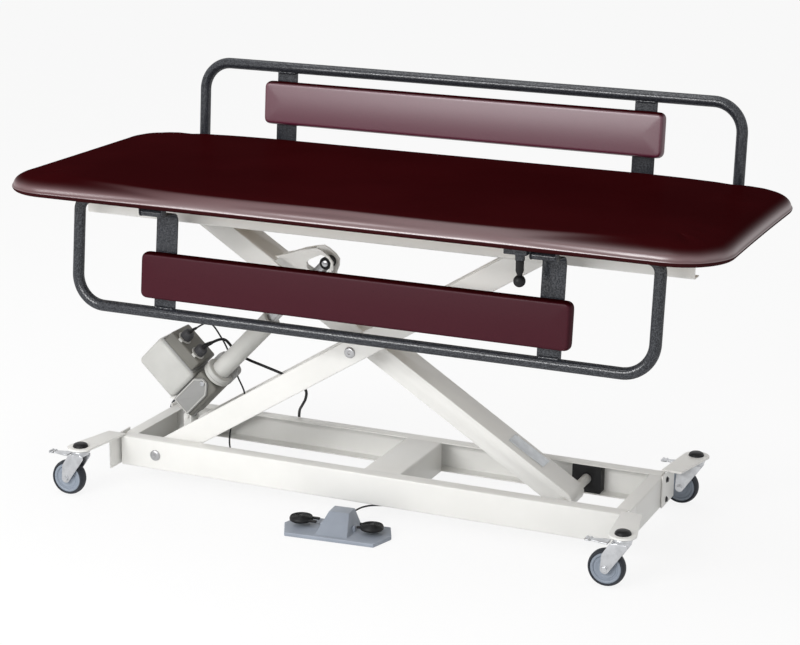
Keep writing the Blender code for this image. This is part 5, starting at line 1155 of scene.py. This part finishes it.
casing("plug_grips", [ribbed_plug(height) for height in PLUG_HEIGHTS], "black_plastic", material=PLUG_GREY)
collar = [(0.0001, 0.0), (0.0178, 0.0), (0.0184, 0.0008), (0.0184, 0.0030), (0.0176, 0.0040), (0.0001, 0.0040)]
COLLAR_X, CLIP_HALF = 0.1625, 0.0060
collars = []
for height in PLUG_HEIGHTS:
    collars.append(lathe_rings(collar, (COLLAR_X, PLUG_Y, height), ALONG_X, 44))
    collars.append(round_block((COLLAR_X, PLUG_Y - 0.0260, height - CLIP_HALF),
                               (0.1700, PLUG_Y - 0.0165, height + CLIP_HALF), 0.0014, 3))
casing("plug_collars", collars, "light_casing")
spigot = [(0.0001, 0.142), (0.0300, 0.142), (0.0300, 0.152), (0.0001, 0.152)]
# The gear housing's body takes the darker casing as painted shade, behind a lid in the grey casing.
casing("gear_housing", [round_block((0.029, -0.036, -0.036), (0.146, 0.036, 0.0312), 0.0085, 5),
                        lathe_rings(spigot, (0, 0, 0), ALONG_X, 56)],
       "grey_casing", ["actuator_tube"], material=CASING_PAINTED_SHADE)

lid = filleted([(0.0310, -0.0260), (0.1140, -0.0260), (0.1290, -0.0150), (0.1405, -0.0050),
                (0.1405, 0.0120), (0.1290, 0.0200), (0.1200, 0.0290), (0.0310, 0.0290)],
               [0.006, 0.010, 0.010, 0.008, 0.008, 0.010, 0.010, 0.006], 5)
casing("gear_lid", [plate_rings(lid, 0.0070, UPRIGHT, (0, -0.0385, 0), 0.0018, 4)], "grey_casing")
RIM = ((0.0022, -0.0415), (0.0022, -0.0428), (0.0028, -0.0434), (0.0046, -0.0434), (0.0052, -0.0428),
       (0.0052, -0.0415))
rim = np.stack([np.column_stack([edge[:, 0], np.full(len(edge), y), edge[:, 1]])
                for edge, y in ((inset(lid, amount), y) for amount, y in RIM)])
casing("gear_lid_rim", [rim], "light_casing", looped=True)
screw = [(0.0001, 0.0022), (0.0030, 0.0022), (0.0034, 0.0034), (0.0056, 0.0034), (0.0066, 0.0026),
         (0.0070, 0.0), (0.0001, 0.0)]
casing("gear_lid_screw", [lathe_rings(screw, (0.1290, -0.0420, 0.0030), ALONG_Y, 32)], "zinc_plate")
clamp = [(0.0260, 0.1510), (0.0365, 0.1510), (0.0380, 0.1524), (0.0380, 0.1590), (0.0370, 0.1600),
         (0.0370, 0.1640), (0.0380, 0.1650), (0.0380, 0.1716), (0.0365, 0.1730), (0.0260, 0.1730)]
casing("tube_collar", [lathe_rings(clamp, (0, 0, 0), ALONG_X, 64)], "light_casing", looped=True)
flange = filleted([(0.143, -0.037), (0.203, -0.037), (0.203, 0.037), (0.143, 0.037)],
                  [0.003, 0.016, 0.016, 0.003], 6)
casing("back_flange", [plate_rings(flange, 0.020, UPRIGHT, (0, 0.0260, 0), 0.0025, 3)], "grey_casing")
tail = capsule((0.0163, -0.0259), (0.0430, -0.0140), 0.0100, 0.0150, 12)
casing("actuator_tail", [plate_rings(tail, 0.0280, UPRIGHT, (0, 0, 0), 0.0015, 3)], "grey_casing")
barrel = [(0.0144, 0.1500), (0.0250, 0.1500), (0.0250, 0.3800), (0.0258, 0.3805), (0.0258, 0.3868),
          (0.0246, 0.3880), (0.0180, 0.3880), (0.0174, 0.3868), (0.0144, 0.3868)]
casing("outer_tube", [lathe_rings(barrel, (0, 0, 0), ALONG_X, 64)], "light_casing", looped=True)

# %% [markdown]
# ## The rod
# The steel rod slides out of the tube and ends in an eye with a dark bush round its pin.
# %% Rod and eye
ROD_LOW, ROD_END, EYE_AT, ROD_RADIUS = 0.295, 0.6050, 0.614673, 0.0140
bar = [(0.0001, ROD_LOW), (ROD_RADIUS, ROD_LOW), (ROD_RADIUS, 0.5960), (ROD_RADIUS, ROD_END), (0.0001, ROD_END)]
casing("rod_bar", [lathe_rings(bar, (0, 0, 0), ALONG_X, 48)], "shaft_steel", ["actuator_rod"], body="rod")
eye = both_ways([(0.0056, 0.0160), (0.0148, 0.0160), (0.0158, 0.0152)])
pin = both_ways([(0.0001, 0.0196), (0.0066, 0.0196), (0.0080, 0.0186)])
casing("rod_eye_pin", [lathe_rings(pin, (EYE_AT, 0, 0), ALONG_Y, 32)], "zinc_plate", body="rod")
casing("rod_eye_bush", [lathe_rings(eye, (EYE_AT, 0, 0), ALONG_Y, 48)], "black_plastic",
       body="rod", looped=True)

# %% [markdown]
# ## The foot switch
# A blue-grey moulding on the floor with a wedge in the middle and a domed, ribbed black pad on each side,
# carried by two prongs.
# %% Foot switch
softened("foot_switch_housing", "foot_switch_base", "base", "switch_grey", 0.0030, 3, 24.0)


def foot_pedal(label, reach, hinge):
    """A ribbed dome at its reach from the middle, on two prongs that start at the hinge."""
    node = f"foot_pedal_{label}"
    centre = SWITCH_PLACE + SWITCH_TURN @ np.array([reach, 0.0, 0.0])
    dome = [(0.0001, 0.0345), (0.0035, 0.0344)]
    for k in range(5):
        r = 0.0055 + 0.0046 * k
        z = 0.0343 - 0.0040 * (r / 0.029) ** 2
        dome += [(r, z), (r + 0.0009, z - 0.0014), (r + 0.0026, z - 0.0014), (r + 0.0035, z)]
    dome += [(0.0275, 0.0298), (0.0289, 0.0285), (0.0290, 0.0240), (0.0278, 0.0222), (0.0001, 0.0222)]
    stacks = [lathe_rings(dome, (centre[0], centre[1], 0.0), FLAT, 64)]
    for prong in (-1, 1):
        block = round_block((hinge, prong * 0.0115 - 0.0040, 0.0238), (reach, prong * 0.0115 + 0.0040, 0.0292),
                            0.0018, 3)
        stacks.append(block @ SWITCH_TURN.T + SWITCH_PLACE)
    return fit(several(f"pedal_pad_{label}", stacks, 50.0), f"foot_pedal_{label}", "black_plastic", [node])


foot_pedal("left", -0.094, -0.0500)
foot_pedal("right", 0.088, 0.0535)


# %% Lock plungers
PLUNGER_X, BALL_Z, BALL_RADIUS = 0.440, 0.697, 0.014
PLUNGERS = (("near", -1), ("far", 1))


def plunger_piece(label, side):
    """A stem and a ball knob, turned about the plunger's own upright axis."""
    ball = arc((0.0, BALL_Z), BALL_RADIUS, math.pi * 0.42, -math.pi / 2, 20)
    profile = [(0.0001, 0.7600), (0.0040, 0.7600), (0.0040, 0.7446), (0.0084, 0.7442), (0.0094, 0.7430),
               (0.0094, 0.7215), (0.0086, 0.7180), (0.0066, 0.7135), (0.0064, 0.7110)]
    profile = np.vstack([profile, ball[:-1], [(0.0001, 0.6830)]])
    place = (PLUNGER_X, side * RAIL_SPREAD + CENTRE_Y, 0.0)
    return fit(several(f"plunger_knob_{label}", [lathe_rings(profile, place, FLAT, 40)]), f"plunger_{label}",
               "black_plastic", [f"lock_plunger_{label}"])


def plunger_block(label, side):
    """The block under the top that the plunger slides in."""
    block = round_block((0.4090, side * 0.3000 + CENTRE_Y, 0.7620), (0.4640, side * 0.3445 + CENTRE_Y, 0.7786),
                        0.0016, 3)
    return fit(several(f"plunger_block_{label}", [block]), "table_top", "grey_hammertone")


for label, side in PLUNGERS:
    plunger_piece(label, side)
for label, side in PLUNGERS:
    plunger_block(label, side)

# %% [markdown]
# ## Small things on the arms
# A bare plate is riveted to the inner arm's top face, and a weld bead runs down each corner of the base.
# %% Plate and weld beads
ARM_FALL = leaning(-ARM_ANGLE)
PLATE_AT, PLATE_LIFT = (0.344, 0.007), 0.026 + 0.0006
RIVET = [(0.0001, 0.0009), (0.0009, 0.0008), (0.0016, 0.0003), (0.0017, 0.0), (0.0001, 0.0)]
along = (PLATE_AT[0] - CENTRE_PIVOT[0]) / math.cos(ARM_ANGLE)
middle = CENTRE_PIVOT + ARM_FALL @ np.array([along, 0.0, PLATE_LIFT]) + np.array([0.0, PLATE_AT[1], 0.0])
corners = filleted([(-0.0535, -0.024), (0.0535, -0.024), (0.0535, 0.024), (-0.0535, 0.024)], 0.003)
plate_stack = [plate_rings(corners, 0.0010, ARM_FALL, middle, 0.0003)]
for dx in (-0.048, 0.048):
    for dy in (-0.0185, 0.0185):
        centre = middle + ARM_FALL @ np.array([dx, dy, 0.0005])
        plate_stack.append(lathe_rings(RIVET, centre, ARM_FALL, 16))
fit(several("bare_plate", plate_stack), "inner_arm", "zinc_plate", material=BARE_PLATE)


beads = []
for node, opens in (("base_end_left", 1), ("base_end_right", -1)):
    low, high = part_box(node)
    x = low[0] if opens > 0 else high[0]
    for y in (low[1], high[1]):
        seam = x + opens * 0.004
        beads.append(bead((seam, y, low[2] + 0.006), (seam, y, high[2] - 0.006), 0.0024))
fit(several("weld_beads_base", beads), "base", "almond_paint")

# %% [markdown]
# ## CAD solids that stay
# The plug is shown as it is, with the new finishes.
# %% Finishes on the solids that stay
for name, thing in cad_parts.items():
    for index, slot in enumerate(thing.material_slots):
        base = slot.material.name.split(".")[0] if slot.material else ""
        if base in FINISHES and slot.material is not FINISHES[base]:
            thing.data.materials[index] = FINISHES[base]

# %% [markdown]
# ## Studio
# A pale floor, a white world for camera and gloss, and three lamps. A wide one overhead opens the shadows, one
# at the front left lights the faces that the camera sees, and a narrow strip above it draws the fine line along
# the pad's near roll.
# %% Floor, world and lamps
def any_ray(tree):
    """1 for camera, glossy and transmission rays, and 0 for the rest."""
    rays = tree.nodes.new("ShaderNodeLightPath")
    found = rays.outputs["Is Camera Ray"]
    for kind in ("Glossy", "Transmission"):
        either = tree.nodes.new("ShaderNodeMath")
        either.operation = "MAXIMUM"
        tree.links.new(found, either.inputs[0])
        tree.links.new(rays.outputs[f"Is {kind} Ray"], either.inputs[1])
        found = either.outputs[0]
    return found


def ranged(tree, value, high, low=0.0):
    level = tree.nodes.new("ShaderNodeMapRange")
    level.inputs["To Min"].default_value = low
    level.inputs["To Max"].default_value = high
    tree.links.new(value, level.inputs["Value"])
    return level.outputs["Result"]


def studio():
    """The floor is seen through a veil of plain white, so its shadows stay but are light."""
    paint = Paint("studio_floor", Roughness=0.95)
    paint.shader.inputs["Specular IOR Level"].default_value = 0.1
    paint.surface(Base_Color=paint.mix(paint.noise(0.7), (0.93, 0.93, 0.93), (0.91, 0.91, 0.91)))
    veil = paint.tree.nodes.new("ShaderNodeEmission")
    blend = paint.tree.nodes.new("ShaderNodeMixShader")
    paint.tree.links.new(ranged(paint.tree, any_ray(paint.tree), 0.87), blend.inputs[0])
    paint.tree.links.new(paint.shader.outputs[0], blend.inputs[1])
    paint.tree.links.new(veil.outputs[0], blend.inputs[2])
    paint.tree.links.new(blend.outputs[0], paint.tree.nodes["Material Output"].inputs["Surface"])
    reach, level = 30, -0.0005
    corners = [(-reach, -reach, level), (reach, -reach, level), (reach, reach, level), (-reach, reach, level)]
    floor = mesh_piece("studio_floor", corners, [[0, 1, 2, 3]])
    floor.data.materials.append(paint.material)
    world = bpy.data.worlds.new("studio_world")
    SCENE.world = world
    world.use_nodes = True
    background = world.node_tree.nodes["Background"]
    background.inputs["Color"].default_value = (1.0, 1.0, 1.0, 1.0)
    world.node_tree.links.new(ranged(world.node_tree, any_ray(world.node_tree), 1.0, 0.55),
                              background.inputs["Strength"])


def lamp(name, place, target, size, power):
    """A rectangular lamp of a size in metres and a power in watts, aimed at a point."""
    data = bpy.data.lights.new(name, "AREA")
    data.shape = "RECTANGLE"
    data.size, data.size_y = size
    data.energy = power
    lamp_object = bpy.data.objects.new(name, data)
    lamp_object.location = place
    aim = Vector(target) - Vector(place)
    lamp_object.rotation_euler = aim.to_track_quat("-Z", "Y").to_euler()
    SCENE.collection.objects.link(lamp_object)


studio()
lamp("overhead", (-0.6, -0.2, 3.6), (0.0, 0.0, 0.6), (3.4, 2.0), 40.0)
lamp("front_left", (-1.25, -4.0, 1.90), (0.1, -0.3, 0.75), (2.4, 1.4), 84.0)
lamp("strip", (-1.0, -3.6, 2.5), (0.1, -0.3, 0.7), (2.6, 0.14), 30.0)
SCENE.view_settings.view_transform = "Standard"
